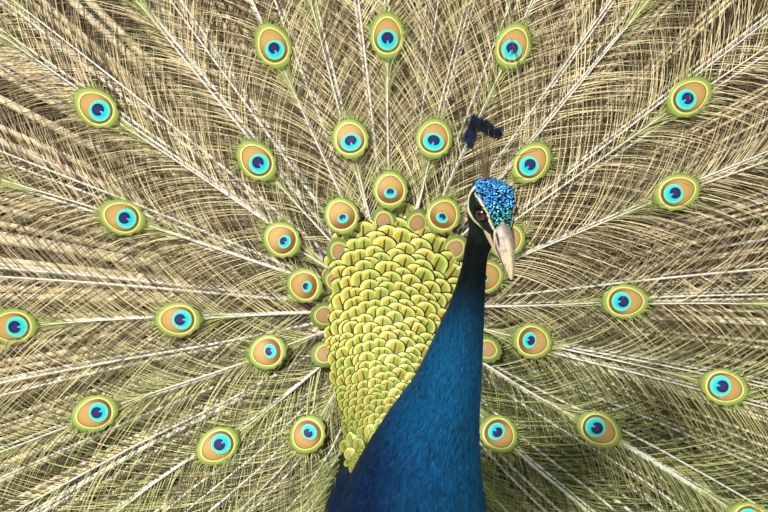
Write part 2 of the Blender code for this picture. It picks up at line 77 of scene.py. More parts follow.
# %% The sizes shared with the solids
HEAD_TURN = (Matrix.Rotation(math.radians(-4.5), 3, "Y") @ Matrix.Rotation(math.radians(20), 3, "Z")
             @ Matrix.Rotation(math.radians(51), 3, "X"))
EYE_FORWARD, EYE_UP = 0.0096, 0.0020        # from the middle of the head
EYE_SIDE_SOLID = 0.0140
EYE_SIDE, EYE_RADIUS = 0.0133, 0.0072       # the finished ball is a little larger and lies deeper
LOOK = (1.0, -0.45, 0.28)                   # sideways, back and up: the way the eye faces
HEAD_CENTRE = sum((Vector(v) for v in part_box("eye_left")), Vector()) / 2
HEAD_CENTRE -= HEAD_TURN @ Vector((EYE_SIDE_SOLID, -EYE_FORWARD, EYE_UP))
SHIFT = HEAD_CENTRE.y + 0.300               # the frame is centred on the box, which moves the solids so far
HUB = np.array([0.0, 0.060 + SHIFT, 0.520]) # where the train's shafts meet
TRAIN_RADIUS, TRAIN_SPREAD = 1.26, 158      # metres, and degrees from straight up
TRAIN_FULL, TRAIN_SHORTER = 88, 0.78        # full length down to this angle, then shorter
TRAIN_LEAN, TRAIN_DISH, TRAIN_DROOP, TRAIN_FLARE = 0.17, 0.17, 0.25, 0.06


def in_head(forward, sideways, up):
    """A place given in the head's own directions."""
    return HEAD_CENTRE + HEAD_TURN @ Vector((sideways, -forward, up))


def eye_of(way):
    """The middle of the left (1) or right (-1) eye, and the way it looks."""
    look = Vector((way * LOOK[0], LOOK[1], LOOK[2])).normalized()
    return in_head(EYE_FORWARD, way * EYE_SIDE, EYE_UP), HEAD_TURN @ look


def unit(vectors):
    """The same directions, each one metre long."""
    return vectors / np.maximum(np.linalg.norm(vectors, axis=-1, keepdims=True), 1e-12)


def smooth(x, low, high):
    """0 below low, 1 above high, and an even turn between."""
    f = np.clip((x - low) / (high - low), 0, 1)
    return f * f * (3 - 2 * f)


def train_reach(degrees):
    """The train's radius at an angle from straight up."""
    lower = np.clip((np.abs(degrees) - TRAIN_FULL) / (TRAIN_SPREAD - TRAIN_FULL), 0, 1)
    return TRAIN_RADIUS - TRAIN_SHORTER * np.sin(lower * math.pi / 2) ** 1.5


def dish(degrees, radius):
    """Places on the train's dish."""
    past = smooth(radius, 0.13, 0.33)
    a = np.radians(degrees * (1 - TRAIN_FLARE * np.abs(degrees / TRAIN_SPREAD) ** 4 * past))
    low = np.maximum(-np.cos(a), 0)
    y = TRAIN_LEAN * radius * np.cos(a) - TRAIN_DISH * radius ** 2 - TRAIN_DROOP * radius * low ** 2
    return HUB + np.stack([radius * np.sin(a), y, radius * np.cos(a)], -1)


def fan(degrees, along, across, lift=0.0):
    """Places beside a feather at that angle: along it from the hub, across it, and in front of the dish."""
    a = np.radians(degrees)
    x, z = along * np.sin(a) + across * np.cos(a), along * np.cos(a) - across * np.sin(a)
    turned, radius = np.degrees(np.arctan2(x, z)), np.hypot(x, z)
    place = dish(turned, radius)
    side = unit(dish(turned + 0.3, radius) - place)
    front = np.cross(side, unit(dish(turned, radius + 0.003) - place))
    return place + front * np.reshape(lift, (-1, 1)), front


def leaving(degrees, at, across, lift, onward, beyond):
    """Where barbs leave a feather, their heading to a place onward and beyond, and the way they face."""
    base, face = fan(degrees, at, across, lift)
    return base, unit(fan(degrees, at + onward, beyond, lift)[0] - base), face


print("head at", [round(v, 4) for v in HEAD_CENTRE], "shift", round(SHIFT, 4))

# %% [markdown]
# ## Camera, floor and light
#
# The camera stands two metres in front of the hub and looks eleven degrees down at the bird, with a long
# lens. A pale floor and large soft lamps keep the colours of the feathers true.

# %% Camera
CAMERA_FROM_HUB, CAMERA_DOWN = Vector((-0.010, -2.000, 0.4491)), 11      # metres and degrees


def shown(name, data):
    """An object for a mesh, a camera or a lamp, in the scene."""
    made = bpy.data.objects.new(name, data)
    bpy.context.scene.collection.objects.link(made)
    return made


camera = shown("camera", bpy.data.cameras.new("camera"))
camera.location = Vector(HUB) + CAMERA_FROM_HUB
camera.rotation_euler = (math.radians(90 - CAMERA_DOWN), 0, 0)
camera.data.sensor_width, camera.data.lens = 36, 84.4
camera.data.clip_start, camera.data.clip_end = 0.05, 100
bpy.context.scene.camera = camera
bpy.context.scene.view_settings.view_transform = "Standard"

# %% Floor, lamps and sky
for name, place, target, power, size, colour in (
        ("key", (-2.2, -3.4, 3.6), (0, -0.1, 0.6), 330, 0.6, (1.0, 0.965, 0.91)),
        ("fill", (3.4, -2.6, 1.6), (0, 0, 0.6), 28, 2.6, (0.93, 0.96, 1.0)),
        ("behind", (1.6, 3.6, 3.0), (0, 0, 0.7), 200, 2.4, (1, 1, 1))):
    lamp = shown(name, bpy.data.lights.new(name, "AREA"))
    lamp.data.energy, lamp.data.size, lamp.data.color = power, size, colour
    lamp.location = place
    lamp.rotation_euler = (Vector(target) - Vector(place)).to_track_quat("-Z", "Y").to_euler()

world = bpy.data.worlds.new("studio")
world.use_nodes = True
world.node_tree.nodes["Background"].inputs["Color"].default_value = (0.86, 0.90, 0.95, 1)
world.node_tree.nodes["Background"].inputs["Strength"].default_value = 0.22
bpy.context.scene.world = world

# %% [markdown]
# ## Writing finishes as expressions
#
# A material is a tree of nodes. Wrapping a socket in a small class with the usual operators lets the
# colour rules be read as arithmetic, and one method makes any other node.


# %% Shader maths
class Wire:
    """The output of a node, with the arithmetic of Math nodes."""

    def __init__(self, finish, socket):
        self.finish, self.socket = finish, socket

    def __rsub__(self, other):
        return self.finish.node("ShaderNodeMath", {"operation": "SUBTRACT"}, enumerate((other, self)))

    def steps(self, low, high):
        """A smooth step: 0 at low and 1 at high."""
        return self.finish.node("ShaderNodeMapRange", {"interpolation_type": "SMOOTHSTEP"},
                                {"Value": self, "From Min": low, "From Max": high})


def maths(operation):
    """A method that makes one Math node."""
    return lambda *values: values[0].finish.node(
        "ShaderNodeMath", {"operation": operation}, enumerate(values))


for method, operation in dict(__add__="ADD", __radd__="ADD", __mul__="MULTIPLY", __rmul__="MULTIPLY",
                              __sub__="SUBTRACT", __truediv__="DIVIDE", __pow__="POWER", __abs__="ABSOLUTE",
                              sine="SINE", most="MAXIMUM").items():
    setattr(Wire, method, maths(operation))


# %% A material in the making
def add_node(tree, kind, settings=(), inputs=()):
    """A node of any tree: its settings first, then the values or the links of its sockets."""
    made = tree.nodes.new(kind)
    for key, value in dict(settings).items():
        setattr(made, key, value)
    for key, value in dict(inputs).items():
        feed(tree, made.inputs[key], value)
    return made


def feed(tree, socket, value):
    """Give a socket a value, or a link from another socket."""
    value = value.socket if isinstance(value, Wire) else value
    if isinstance(value, bpy.types.NodeSocket):
        tree.links.new(value, socket)
    else:
        socket.default_value = value


class Finish:
    """A material, whose colour rules are written with wires."""

    def __init__(self, name, **sockets):
        self.material = bpy.data.materials.new(name)
        self.material.use_nodes = True
        self.tree = self.material.node_tree
        self.shade(**sockets)

    def shade(self, **sockets):
        """Set the surface's own sockets: base_color, roughness, metallic, normal and so on."""
        for name, value in sockets.items():
            name = name.replace("_", " ").title().replace("Ior", "IOR")
            feed(self.tree, self.tree.nodes["Principled BSDF"].inputs[name], value)

    def node(self, kind, settings=(), inputs=(), output=0):
        return Wire(self, add_node(self.tree, kind, settings, inputs).outputs[output])

    def attribute(self, name, output="Fac"):
        return self.node("ShaderNodeAttribute", {"attribute_name": name}, output=output)

    def parts(self, vector):
        """The three numbers of a vector."""
        split = self.node("ShaderNodeSeparateXYZ", inputs={0: vector}).socket.node
        return [Wire(self, s) for s in split.outputs]

    def own(self, name):
        """The three numbers of a vector attribute."""
        return self.parts(self.attribute(name, "Vector"))

    def around(self):
        return self.node("ShaderNodeTexCoord", output="Object")

    def place(self):
        """x, y and z of the surface, in metres."""
        return self.parts(self.around())

    def noise(self, scale, detail=2.0):
        return self.node("ShaderNodeTexNoise",
                         inputs={"Scale": scale, "Detail": detail, "Vector": self.around()})

    def mix(self, share, first, second):
        """first where share is 0, second where it is 1."""
        return self.node("ShaderNodeMix", {"data_type": "RGBA"}, {0: share, 6: first, 7: second}, output=2)

    def shaded(self, colour, by):
        """A colour made darker or lighter by a number."""
        grey = self.node("ShaderNodeCombineXYZ", inputs={0: by, 1: by, 2: by})
        return self.node("ShaderNodeVectorMath", {"operation": "MULTIPLY"}, {0: colour, 1: grey})

    def bump(self, height, distance, strength=1.0):
        self.shade(normal=self.node("ShaderNodeBump", inputs={
            "Height": height, "Distance": distance, "Strength": strength}))

    def between(self, share, first, second):
        """Paint the surface from the first colour to the second."""
        self.shade(base_color=self.mix(share, first, second))
        return self

    def dress(self, mesh):
        """Put the material on a mesh and shade it smooth."""
        mesh.materials.clear()
        mesh.materials.append(self.material)
        mesh.shade_smooth()


def rgb(red, green, blue):
    """A colour given in 0 to 255 as screens do, in the linear numbers that shaders use."""
    return (*[(c / 255 / 12.92) if c < 11 else ((c / 255 + 0.055) / 1.055) ** 2.4
              for c in (red, green, blue)], 1.0)


# %% [markdown]
# ## Laying feathers
#
# Barbs, tufts, scales and beads are all one idea: a small shape repeated on many roots, each turned to
# lie its own way. A Geometry Nodes tree does it. It reads each root's direction, size and kind from
# attributes, puts a copy of a small template there, and turns the copies into plain mesh. It also gives
# every copy its own small patch of the bake map.


# %% Meshes from arrays
def mark(mesh, **attributes):
    """Keep arrays as attributes of a mesh's points."""
    for key, values in attributes.items():
        values = np.asarray(values)
        kind = "INT" if values.dtype.kind == "i" else "FLOAT_VECTOR" if values.ndim == 2 else "FLOAT"
        mesh.attributes.new(key, kind, "POINT").data.foreach_set(
            "vector" if values.ndim == 2 else "value",
            values.astype(np.int32 if kind == "INT" else np.float32).ravel())
    return mesh


def mesh_of(name, points, faces=(), edges=(), **attributes):
    """A mesh from points, edges or faces, with attributes on its points."""
    mesh = bpy.data.meshes.new(name)
    mesh.from_pydata(np.asarray(points, float).tolist(), np.asarray(edges, int).tolist(), list(faces))
    return mark(mesh, **attributes)


def values_of(mesh, name, width=1):
    """An attribute of a mesh's points as an array."""
    values = np.zeros(len(mesh.vertices) * width, np.float32)
    mesh.attributes[name].data.foreach_get("vector" if width == 3 else "value", values)
    return values.reshape(-1, width) if width > 1 else values


def points_of(mesh):
    values = np.zeros(len(mesh.vertices) * 3)
    mesh.vertices.foreach_get("co", values)
    return values.reshape(-1, 3)


def normals_of(mesh):
    values = np.zeros(len(mesh.vertices) * 3)
    mesh.vertex_normals.foreach_get("vector", values)
    return values.reshape(-1, 3)


def reworked(mesh, work):
    """The mesh after a piece of work on its edit form."""
    bm = bmesh.new()
    bm.from_mesh(mesh)
    work(bm)
    bm.to_mesh(mesh)
    bm.free()
    return mesh


def face_out(bm):
    """Turn all faces outwards, and cut large flat ones in triangles."""
    bmesh.ops.recalc_face_normals(bm, faces=bm.faces)
    bmesh.ops.triangulate(bm, faces=[f for f in bm.faces if len(f.verts) > 4])


def grid_faces(rows, columns, first=0, flip=False):
    """Four-sided faces of a grid whose points are given row by row."""
    wide = columns + 1
    corners = (0, 1, wide + 1, wide) if not flip else (0, wide, wide + 1, 1)
    return [tuple(first + j * wide + k + c for c in corners) for j in range(rows) for k in range(columns)]


def grid_template(name, rows, columns, point, stretch, start):
    """A small open shape: point(v, f) gives its points, v from 0 to 1 along it and f from -1 to 1 across."""
    points = [point(j / rows, 2 * k / columns - 1) for j in range(rows + 1) for k in range(columns + 1)]
    mesh = reworked(mesh_of(name, points, grid_faces(rows, columns)),
                    lambda bm: bmesh.ops.remove_doubles(bm, verts=bm.verts, dist=1e-6))
    local = points_of(mesh)
    return mark(mesh, local=local, patch=local * (*stretch, 0) + (*start, 0))


def blades(name, *shapes):
    """Ribbons in one mesh: each shape is rows of centre x, y, z and half width."""
    points, faces = [], []
    for shape in shapes:
        faces += grid_faces(len(shape) - 1, 1, len(points))
        points += [(x + side * half, y, z) for x, y, z, half in shape for side in (-1, 1)]
    points = np.array(points)
    patch = (points - points.min(0)) / np.ptp(points, axis=0).max()
    return mesh_of(name, points, faces, patch=patch, local=points)


# %% Geometry Nodes trees
class Growth:
    """A Geometry Nodes tree in the making, with named inputs."""

    def __init__(self, name, **sizes):
        self.tree, self.sizes = bpy.data.node_groups.new(name, "GeometryNodeTree"), sizes
        for label, way in (("Geometry", "INPUT"), ("Geometry", "OUTPUT"),
                           *((key, "INPUT") for key in sizes)):
            kind = "NodeSocketGeometry" if label == "Geometry" else "NodeSocketFloat"
            self.tree.interface.new_socket(label, in_out=way, socket_type=kind)
        self.given = add_node(self.tree, "NodeGroupInput").outputs

    def add(self, kind, settings=(), inputs=()):
        return add_node(self.tree, kind, settings, inputs).outputs[0]

    def named(self, label, kind):
        return self.add("GeometryNodeInputNamedAttribute", {"data_type": kind}, {"Name": label})

    def settle(self, piece, shape, finish):
        """Dress the realized shape and keep it as the piece's own mesh, without the modifier."""
        dressed = self.add("GeometryNodeSetMaterial",
                           inputs={"Geometry": shape, "Material": finish.material})
        add_node(self.tree, "NodeGroupOutput", inputs={0: dressed})
        change = piece.modifiers.new("growth", "NODES")
        change.node_group = self.tree
        for socket in self.tree.interface.items_tree:
            if socket.name in self.sizes:
                change[socket.identifier] = self.sizes[socket.name]
        mesh = settled(piece)
        mesh.shade_smooth()
        return mesh


def settled(thing):
    """The evaluated mesh of an object, whose modifiers then go."""
    bpy.context.view_layer.update()
    mesh = bpy.data.meshes.new_from_object(thing.evaluated_get(bpy.context.evaluated_depsgraph_get()))
    mesh.name = thing.name
    thing.modifiers.clear()
    thing.data = mesh
    return mesh


def finished(piece, slot, *nodes):
    """The piece belongs to the bird and stands for these solids, which it hides. The slot is not used."""
    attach(piece, "root")
    if nodes:
        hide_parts(*nodes)
    return piece


# %% Copies of templates on roots
def lay(name, templates, finish, slot, co, tip, face, size, root, kind=None, patch_size=0.003, nodes=(),
        **extra):
    """Lay templates on roots. size is one number or three for each root; root is its place on the unwrap."""
    size = np.asarray(size, float)
    size = np.repeat(size[:, None], 3, 1) if size.ndim == 1 else size
    kind = np.zeros(len(co), int) if kind is None else kind
    piece = shown(name, mesh_of(name, co, tip=tip, face=face, size=size, root=np.pad(root, ((0, 0), (0, 1))),
                                kind=kind, **extra))
    holders = [shown(f"{name}_template_{k}", template) for k, template in enumerate(templates)]
    tree = Growth(name, scale=1.0, patch_size=float(patch_size))
    shapes = add_node(tree.tree, "GeometryNodeGeometryToInstance")
    for holder in reversed(holders):
        shape = add_node(tree.tree, "GeometryNodeObjectInfo", inputs={"Object": holder})
        tree.tree.links.new(shape.outputs["Geometry"], shapes.inputs[0])
    turn = tree.add("FunctionNodeAxesToRotation", {"primary_axis": "Y", "secondary_axis": "Z"}, {
        "Primary Axis": tree.named("tip", "FLOAT_VECTOR"),
        "Secondary Axis": tree.named("face", "FLOAT_VECTOR")})
    grown = tree.add("ShaderNodeVectorMath", {"operation": "SCALE"},
                     {0: tree.named("size", "FLOAT_VECTOR"), "Scale": tree.given["scale"]})
    laid = tree.add("GeometryNodeInstanceOnPoints", inputs={
        "Points": tree.given["Geometry"], "Instance": shapes.outputs[0], "Pick Instance": True,
        "Instance Index": tree.named("kind", "INT"), "Rotation": turn, "Scale": grown})
    real = tree.add("GeometryNodeRealizeInstances", inputs={"Geometry": laid})
    local = tree.add("ShaderNodeVectorMath", {"operation": "SCALE"},
                     {0: tree.named("patch", "FLOAT_VECTOR"), "Scale": tree.given["patch_size"]})
    spot = tree.add("ShaderNodeVectorMath", {"operation": "ADD"},
                    {0: tree.named("root", "FLOAT_VECTOR"), 1: local})
    mapped = tree.add("GeometryNodeStoreNamedAttribute", {"data_type": "FLOAT2", "domain": "CORNER"},
                      {"Geometry": real, "Name": "OFBake", "Value": spot})
    mesh = tree.settle(piece, mapped, finish)
    for holder in holders:
        bpy.data.objects.remove(holder, do_unlink=True)
    for spare in ("tip", "face", "size", "kind", "root", "patch"):
        mesh.attributes.remove(mesh.attributes[spare])
    mesh.calc_loop_triangles()
    print(f"{name}: {len(co)} laid, {len(mesh.loop_triangles)} triangles")
    return finished(piece, slot, *nodes)


def lay_in_cells(name, template, finish, slot, co, tip, face, size, third=None, side=None, fill=0.96,
                 **more):
    """Lay one template, each copy in its own cell of the bake map. With a third attribute of the root
    named, the finish can read spot: across and along the template, and that attribute."""
    side = side or math.ceil(math.sqrt(len(co)))
    place = np.stack(np.divmod(np.arange(len(co)), side)[::-1], 1) / side
    piece = lay(name, [template], finish, slot, co, tip, face, size, place, patch_size=fill / side, **more)
    if third:
        spot = values_of(piece.data, "local", 3)
        spot[:, 2] = values_of(piece.data, third)
        mark(piece.data, spot=spot)
        piece.data.attributes.remove(piece.data.attributes["local"])
    return piece


def some(middle, spread, count):
    """Random shares from 0 to 1 round a middle."""
    return np.clip(draw.normal(middle, spread, count), 0, 1)


# %% The studio floor
floor = shown("floor", mesh_of("floor", [(-12, -12, 0), (12, -12, 0), (12, 12, 0), (-12, 12, 0)],
                               [(0, 1, 2, 3)]))
floor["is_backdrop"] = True
studio_floor = Finish("studio_floor", roughness=0.85)
studio_floor.between(studio_floor.noise(40.0), rgb(214, 210, 203), rgb(222, 219, 213))
floor.data.materials.append(studio_floor.material)

# %% [markdown]
# ## The train: where each feather ends
#
# The train holds about a hundred and fifty feathers with an eye-spot and a few dozen fish-tail feathers at
# the rim. The eye-spots stand in a lattice: columns fan out from the hub, and short feathers alternate
# with long ones, so that each eye shows in the gap between its neighbours.

# %% The lattice of eye-spots
COLUMNS = [                                # radii of the innermost eye-spots, by column from the middle
    (0.134, 0.306, 0.475), (0.197, 0.400), (0.120, 0.324), (0.227, 0.480), (0.148, 0.402),
    (0.104, 0.322), (0.243, 0.426), (0.150, 0.352), (0.245, 0.420), (0.166, 0.330),
]
RING_STEP = 0.180                          # from one eye-spot of a column to the next


def column_angle(index):
    """The angle of a column from straight up, which widens towards the sides."""
    return 13.4 * index + 0.33 * index * index


eyes = []                                  # angle in degrees, radius in metres
for index in range(len(COLUMNS)):
    for way in ((1, -1) if index else (-1,)):
        aside = float(smooth(column_angle(index), 50, 80)) if way > 0 else 0.0
        angle = way * column_angle(index) * (1 - 0.05 * aside) - (1.0 if index == 0 else 0.0)
        reach = float(train_reach(angle))
        radii = list(COLUMNS[index])
        while radii[-1] + RING_STEP < 0.94 * reach:
            radii.append(radii[-1] + RING_STEP * float(draw.uniform(0.94, 1.06)))
        for step, radius in enumerate(radii):
            if radius < 0.95 * reach:
                outward = 4.0 * (step > 0) * (1 < index < 6)
                eyes.append((angle - way * outward + float(draw.normal(0, 0.6)),
                             radius * (1 + 0.08 * aside)))
for index in range(len(COLUMNS)):          # more eye-spots between the columns, in the outer half
    for way in (1, -1):
        angle = way * (column_angle(index) + column_angle(index + 1)) / 2
        radius = 0.545 + 0.06 * (index % 2)
        while radius < 0.93 * float(train_reach(angle)) and abs(angle) < TRAIN_SPREAD - 4:
            eyes.append((angle + float(draw.normal(0, 0.8)), radius))
            radius += RING_STEP * float(draw.uniform(0.98, 1.10))
eyes = np.array(sorted(eyes, key=lambda e: -e[1]))

# %% Fish-tail and plain feathers
FISH_TAILS, PLAIN = 46, 44
SHORT = ((160.0, 0.47), (162.5, 0.44), (165.0, 0.41), (168.0, 0.37))      # the lowest on each side
CLEAR_OF_FLOOR = 0.455                     # how far below the hub a feather may reach
rims = np.linspace(-TRAIN_SPREAD + 3, TRAIN_SPREAD - 3, FISH_TAILS) + draw.normal(0, 0.8, FISH_TAILS)
rims = np.stack([rims, 0.968 * train_reach(rims)], 1)
rims = np.concatenate([rims, [(way * aside, end) for way in (1, -1) for aside, end in SHORT]])
fill = np.linspace(-TRAIN_SPREAD + 10, TRAIN_SPREAD - 10, PLAIN) + draw.normal(0, 1.0, PLAIN)
fill = np.stack([fill, 0.955 * train_reach(fill) * draw.uniform(0.94, 1.0, PLAIN)], 1)
for kind in (eyes, rims, fill):
    kind[:, 1] = np.minimum(kind[:, 1], CLEAR_OF_FLOOR / np.maximum(-np.cos(np.radians(kind[:, 0])), 0.3))
print("eye-spot feathers:", len(eyes), "fish-tail feathers:", len(rims), "plain:", len(fill))

feather_angle, feather_end = np.concatenate([eyes, rims, fill]).T
order = np.arange(len(feather_angle))
has_eye = order < len(eyes)
feather_start = np.where(order < len(eyes) + len(rims), 0.085, 0.52 * feather_end)


def layer(end):
    """How far in front of the dish a feather lies: the short ones lie on top of the long ones."""
    return 0.003 + 0.017 * (1 - end / 1.3) ** 1.2


def unrolled(degrees, radius):
    """The dish unrolled to a square: a place for each root on the bake map."""
    return np.stack([0.5 + degrees / 362, np.clip(radius / 1.30, 0, 0.995)], 1)


# %% [markdown]
# ## Shafts
#
# Each feather hangs on a cream shaft, as thick as a pencil lead at the hub and fine as thread at the
# tip. It follows the dish, so it is a tube along a path: Geometry Nodes sweep a small ring along each line.


# %% Tubes along paths
def swept(name, lines, radii, finish, slot):
    """Tubes along many lines, given as arrays of points, with a radius at each point."""
    count, steps = lines.shape[:2]
    number = np.arange(count * steps).reshape(count, steps)
    edges = np.stack([number[:, :-1].ravel(), number[:, 1:].ravel()], 1)
    piece = shown(name, mesh_of(name, lines.reshape(-1, 3), edges=edges, thick=radii.ravel()))
    tree = Growth(name, thickness=1.0)
    curve = tree.add("GeometryNodeMeshToCurve", inputs={0: tree.given["Geometry"]})
    ring = tree.add("GeometryNodeCurvePrimitiveCircle", inputs={"Resolution": 3, "Radius": 1.0})
    thick = tree.add("ShaderNodeMath", {"operation": "MULTIPLY"},
                     {0: tree.named("thick", "FLOAT"), 1: tree.given["thickness"]})
    tube = tree.add("GeometryNodeCurveToMesh", inputs={
        "Curve": curve, "Profile Curve": ring, "Scale": thick, "Fill Caps": True})
    real = tree.add("GeometryNodeRealizeInstances", inputs={0: tube})
    mesh = reworked(tree.settle(piece, real, finish), face_out)
    mesh.shade_smooth()
    print(f"{name}: {count} tubes, {len(mesh.polygons)} faces")
    return finished(piece, slot)


SHAFT_STEPS = 13
STEP = np.linspace(0, 1, SHAFT_STEPS)


def shafts(name, degrees, start, stop, thick, lift, finish, sway=0.0):
    """Shafts along feathers from one radius to another; thickness, lift and sway are given at each step."""
    start, stop = (np.broadcast_to(radius, len(degrees))[:, None] for radius in (start, stop))
    along = start + (stop - start) * STEP
    across, lift, thick = (values + 0 * along for values in (sway, lift, thick))
    lines, _ = fan(np.repeat(degrees, SHAFT_STEPS), along.ravel(), across.ravel(), lift.ravel())
    swept(name, lines.reshape(-1, SHAFT_STEPS, 3), thick, finish, "train_feather")


# %% Shafts of the front layer, and pale stripes behind the lace
quill = Finish("quill_cream", roughness=0.38, specular_ior_level=0.55)
streaks = quill.noise(260.0, 3.0)
quill.between(streaks.steps(0.45, 0.75), rgb(250, 246, 234), rgb(214, 198, 166)).bump(streaks, 0.0003, 0.5)
shafts("train_shafts", feather_angle, feather_start - 0.020, feather_end - 0.008 * has_eye,
       (0.00290 - 0.00225 * STEP ** 0.9) * (0.75 + 0.35 * feather_end[:, None] / TRAIN_RADIUS),
       (layer(feather_end) + 0.0006)[:, None] * smooth(STEP, 0, 0.15) + 0.001, quill,
       draw.normal(0, 0.004, len(feather_angle))[:, None] * np.sin(STEP * math.pi) * feather_end[:, None])

UNDER = 190                                # shafts of the layer beneath
under_angle = np.linspace(-TRAIN_SPREAD + 8, TRAIN_SPREAD - 8, UNDER) + draw.normal(0, 0.7, UNDER)
pale = Finish("quill_shaded", roughness=0.6)
pale.between(pale.noise(200.0, 3.0).steps(0.40, 0.70), rgb(252, 238, 200), rgb(212, 186, 138))
shafts("train_under_shafts", under_angle, 0.07,
       0.90 * train_reach(under_angle) * draw.uniform(0.75, 1.0, UNDER),
       (0.0050 - 0.0022 * STEP) * (1 - 0.4 * smooth(under_angle, 20, 60))[:, None],
       0.0056 * smooth(STEP, 0, 0.15) + 0.0004, pale)

# %% [markdown]
# ## Barbs
#
# The part of the feather below the eye is open: long, loose barbs leave the shaft every few millimetres
# and curve towards the tip, and the barbs of neighbouring feathers cross like cloth. They are khaki above,
# green near the eye-spots and in the lower fan. Each is a thin ribbon laid by the tree above.

# %% The finish of the loose barbs
barb = Finish("barb_khaki_green", roughness=0.5, metallic=0.10, specular_ior_level=0.4)
# tone, read by the barb finishes, carries painted shade from barb_roots as well as random tone
tone, green, rosy = (barb.attribute(name) for name in ("tone", "green", "rosy"))
light = barb.mix(tone.steps(0.0, 0.85), rgb(64, 48, 24), rgb(255, 236, 186))
light = barb.mix(rosy * 0.40, light, barb.mix(tone.steps(0.0, 0.9), rgb(96, 66, 52), rgb(226, 190, 168)))
leaf = barb.mix(tone.steps(0.0, 0.9), rgb(58, 70, 20), rgb(190, 202, 112))
barb.shade(base_color=barb.shaded(barb.mix(green, light, leaf), 0.74 + 0.52 * barb.noise(520.0)))

# %% Barb templates
BARB_WIDTH, BARB_STEPS = 0.0047, 5         # half width as a share of its length


def barb_shape(bend, raise_by):
    """A ribbon one unit long that bends aside, with a pointed end."""
    t = np.linspace(0, 1, BARB_STEPS)
    return np.stack([bend * (t - t * t) * 4, t, raise_by * t * t, BARB_WIDTH * (1 - 0.72 * t ** 1.5)], 1)


barb_templates = [blades(f"barb_{k}", barb_shape(way * bend, raised)) for k,
                  (way, (bend, raised)) in enumerate(
    (way, shape) for way in (-1, 1) for shape in ((0.07, 0.03), (0.04, -0.02), (0.10, 0.01)))]


# %% Where barbs leave their shafts
def barb_roots(chosen, near, far, front=1.0):
    """Roots along both sides of each feather: close together where it shows, sparse where it is covered."""
    rows = []
    for which in chosen:
        stop = feather_end[which] - (0.030 if has_eye[which] else 0.012)
        at = feather_start[which] + 0.02 * draw.random()
        while at < stop:
            rows += [(which, at, 1), (which, at, -1)]
            at += near + (far - near) * float(smooth(stop - at, 0.20, 0.36))
    which, at, way = (np.array(column) for column in zip(*rows))
    habit = draw.normal(0, 1, (len(feather_angle), 2, 3))[which, (way < 0).astype(int)]
    at = at + draw.normal(0, 0.0005, len(at))
    end, angle = feather_end[which], feather_angle[which]
    left = end - at
    near_eye = has_eye[which] * (1 - smooth(left, 0.05, 0.13))
    length = 0.095 * (0.70 + 0.45 * smooth(left, 0.02, 0.35)) * (1 + 0.07 * habit[:, 0])
    length = length * draw.uniform(0.92, 1.08, len(at)) * (1 - 0.30 * near_eye)
    lean = np.radians(45 + 5 * habit[:, 1] + draw.normal(0, 1.6, len(at)) - 14 * near_eye)
    lift = layer(end) + front * draw.normal(0, 0.0010, len(at))
    base, tip, face = leaving(angle, at, way * 0.0008, lift, 0.03 * np.cos(lean), way * 0.03 * np.sin(lean))
    tip = tip + face * (0.020 + 0.03 * habit[:, 2] + draw.normal(0, 0.012, len(at)))[:, None]
    low = smooth(np.abs(angle), 86, 118)
    patch = np.sin(angle * 0.21 + end * 9.0) * 0.5 + 0.5
    green = some(0.75 * near_eye + (0.72 - 0.2 * smooth(-angle, 60, 90)) * low + 0.20 * patch, 0.10, len(at))
    rosy = some(smooth(at, 0.24, 0.5) * smooth(-angle, -30, 80), 0.15, len(at))
    # painted shade: besides the random tone, about a third of the barbs are made dark, as barbs lying in
    # shadow
    tone = draw.beta(1.9, 0.9, len(at)) * np.where(draw.random(len(at)) < 0.36, 0.18, 1.0)
    # painted shade: darker far from the tip, where other feathers cover the barbs, and at positive angles,
    # away from the key lamp
    tone = np.clip(tone * (1 - 0.55 * smooth(left, 0.14, 0.46)) * (1 - 0.22 * smooth(angle, 66, 96)), 0, 1)
    kind = (habit[:, 0] > 0).astype(int) + (draw.random(len(at)) > 0.9) + 3 * (way < 0)
    return dict(co=base, tip=tip, face=face, size=length, kind=kind, root=unrolled(angle, at),
                green=green, rosy=rosy, tone=tone)


THIRD = 48                                 # degrees to each side of the middle third
BARB_GAP, HIDDEN_GAP = 0.0046, 0.0095      # metres between barbs, where they show and where they are covered
for name, chosen in (("right", feather_angle < -THIRD), ("left", feather_angle > THIRD),
                     ("middle", np.abs(feather_angle) <= THIRD)):
    lay("train_barbs_" + name, barb_templates, barb, "train_feather", 
        **barb_roots(order[chosen], BARB_GAP, HIDDEN_GAP))

# %% [markdown]
# ## Eye-spots
#
# At the eye the barbs lock together in a firm vane: a yellow ring, a bronze egg, a turquoise disc and a
# violet heart. The pattern follows each vane's own across-and-along coordinates, kept in an attribute, so
# one finish paints them all. Short feathers near the back carry small discs.

# %% The eye-spot finish
vane = Finish("eye_spot", roughness=0.5, metallic=0.12, specular_ior_level=0.35)
x, y, s = vane.own("spot")                 # s is 1 for a whole pattern and small for a bare disc
full = s.steps(0.12, 0.5)
egg = ((x * (1 + 0.10 * y) / 0.84) ** 2.0 + ((y - 0.02) / 1.08) ** 2.0) ** 0.5 / (0.80 + 0.20 * full)
disc = (x * x + (y + 0.27) * (y + 0.27)) ** 0.5 / (0.64 * s + 0.001)
heart = (x * x + (y + 0.15) * (y + 0.15)) ** 0.5 / (0.375 * s + 0.001)
notch = (1 - (abs(x) / (0.11 * s + 0.001)).steps(0.0, 1.0)) * (0 - y - 0.15 - 0.10 * s).steps(0.0, 0.05)
barbs = ((y - 1.15 * abs(x)) * 64.0).sine()
bronze = vane.mix((y + 0.85).steps(0.0, 1.4), rgb(134, 86, 38), rgb(194, 156, 90))
bronze = vane.mix(full, rgb(176, 140, 92), bronze)
yellow = vane.mix(egg.steps(1.01, 1.05), rgb(112, 88, 40), rgb(226, 226, 128))
fringe = vane.mix(egg.steps(1.20, 1.45), rgb(156, 172, 84), rgb(112, 128, 60))
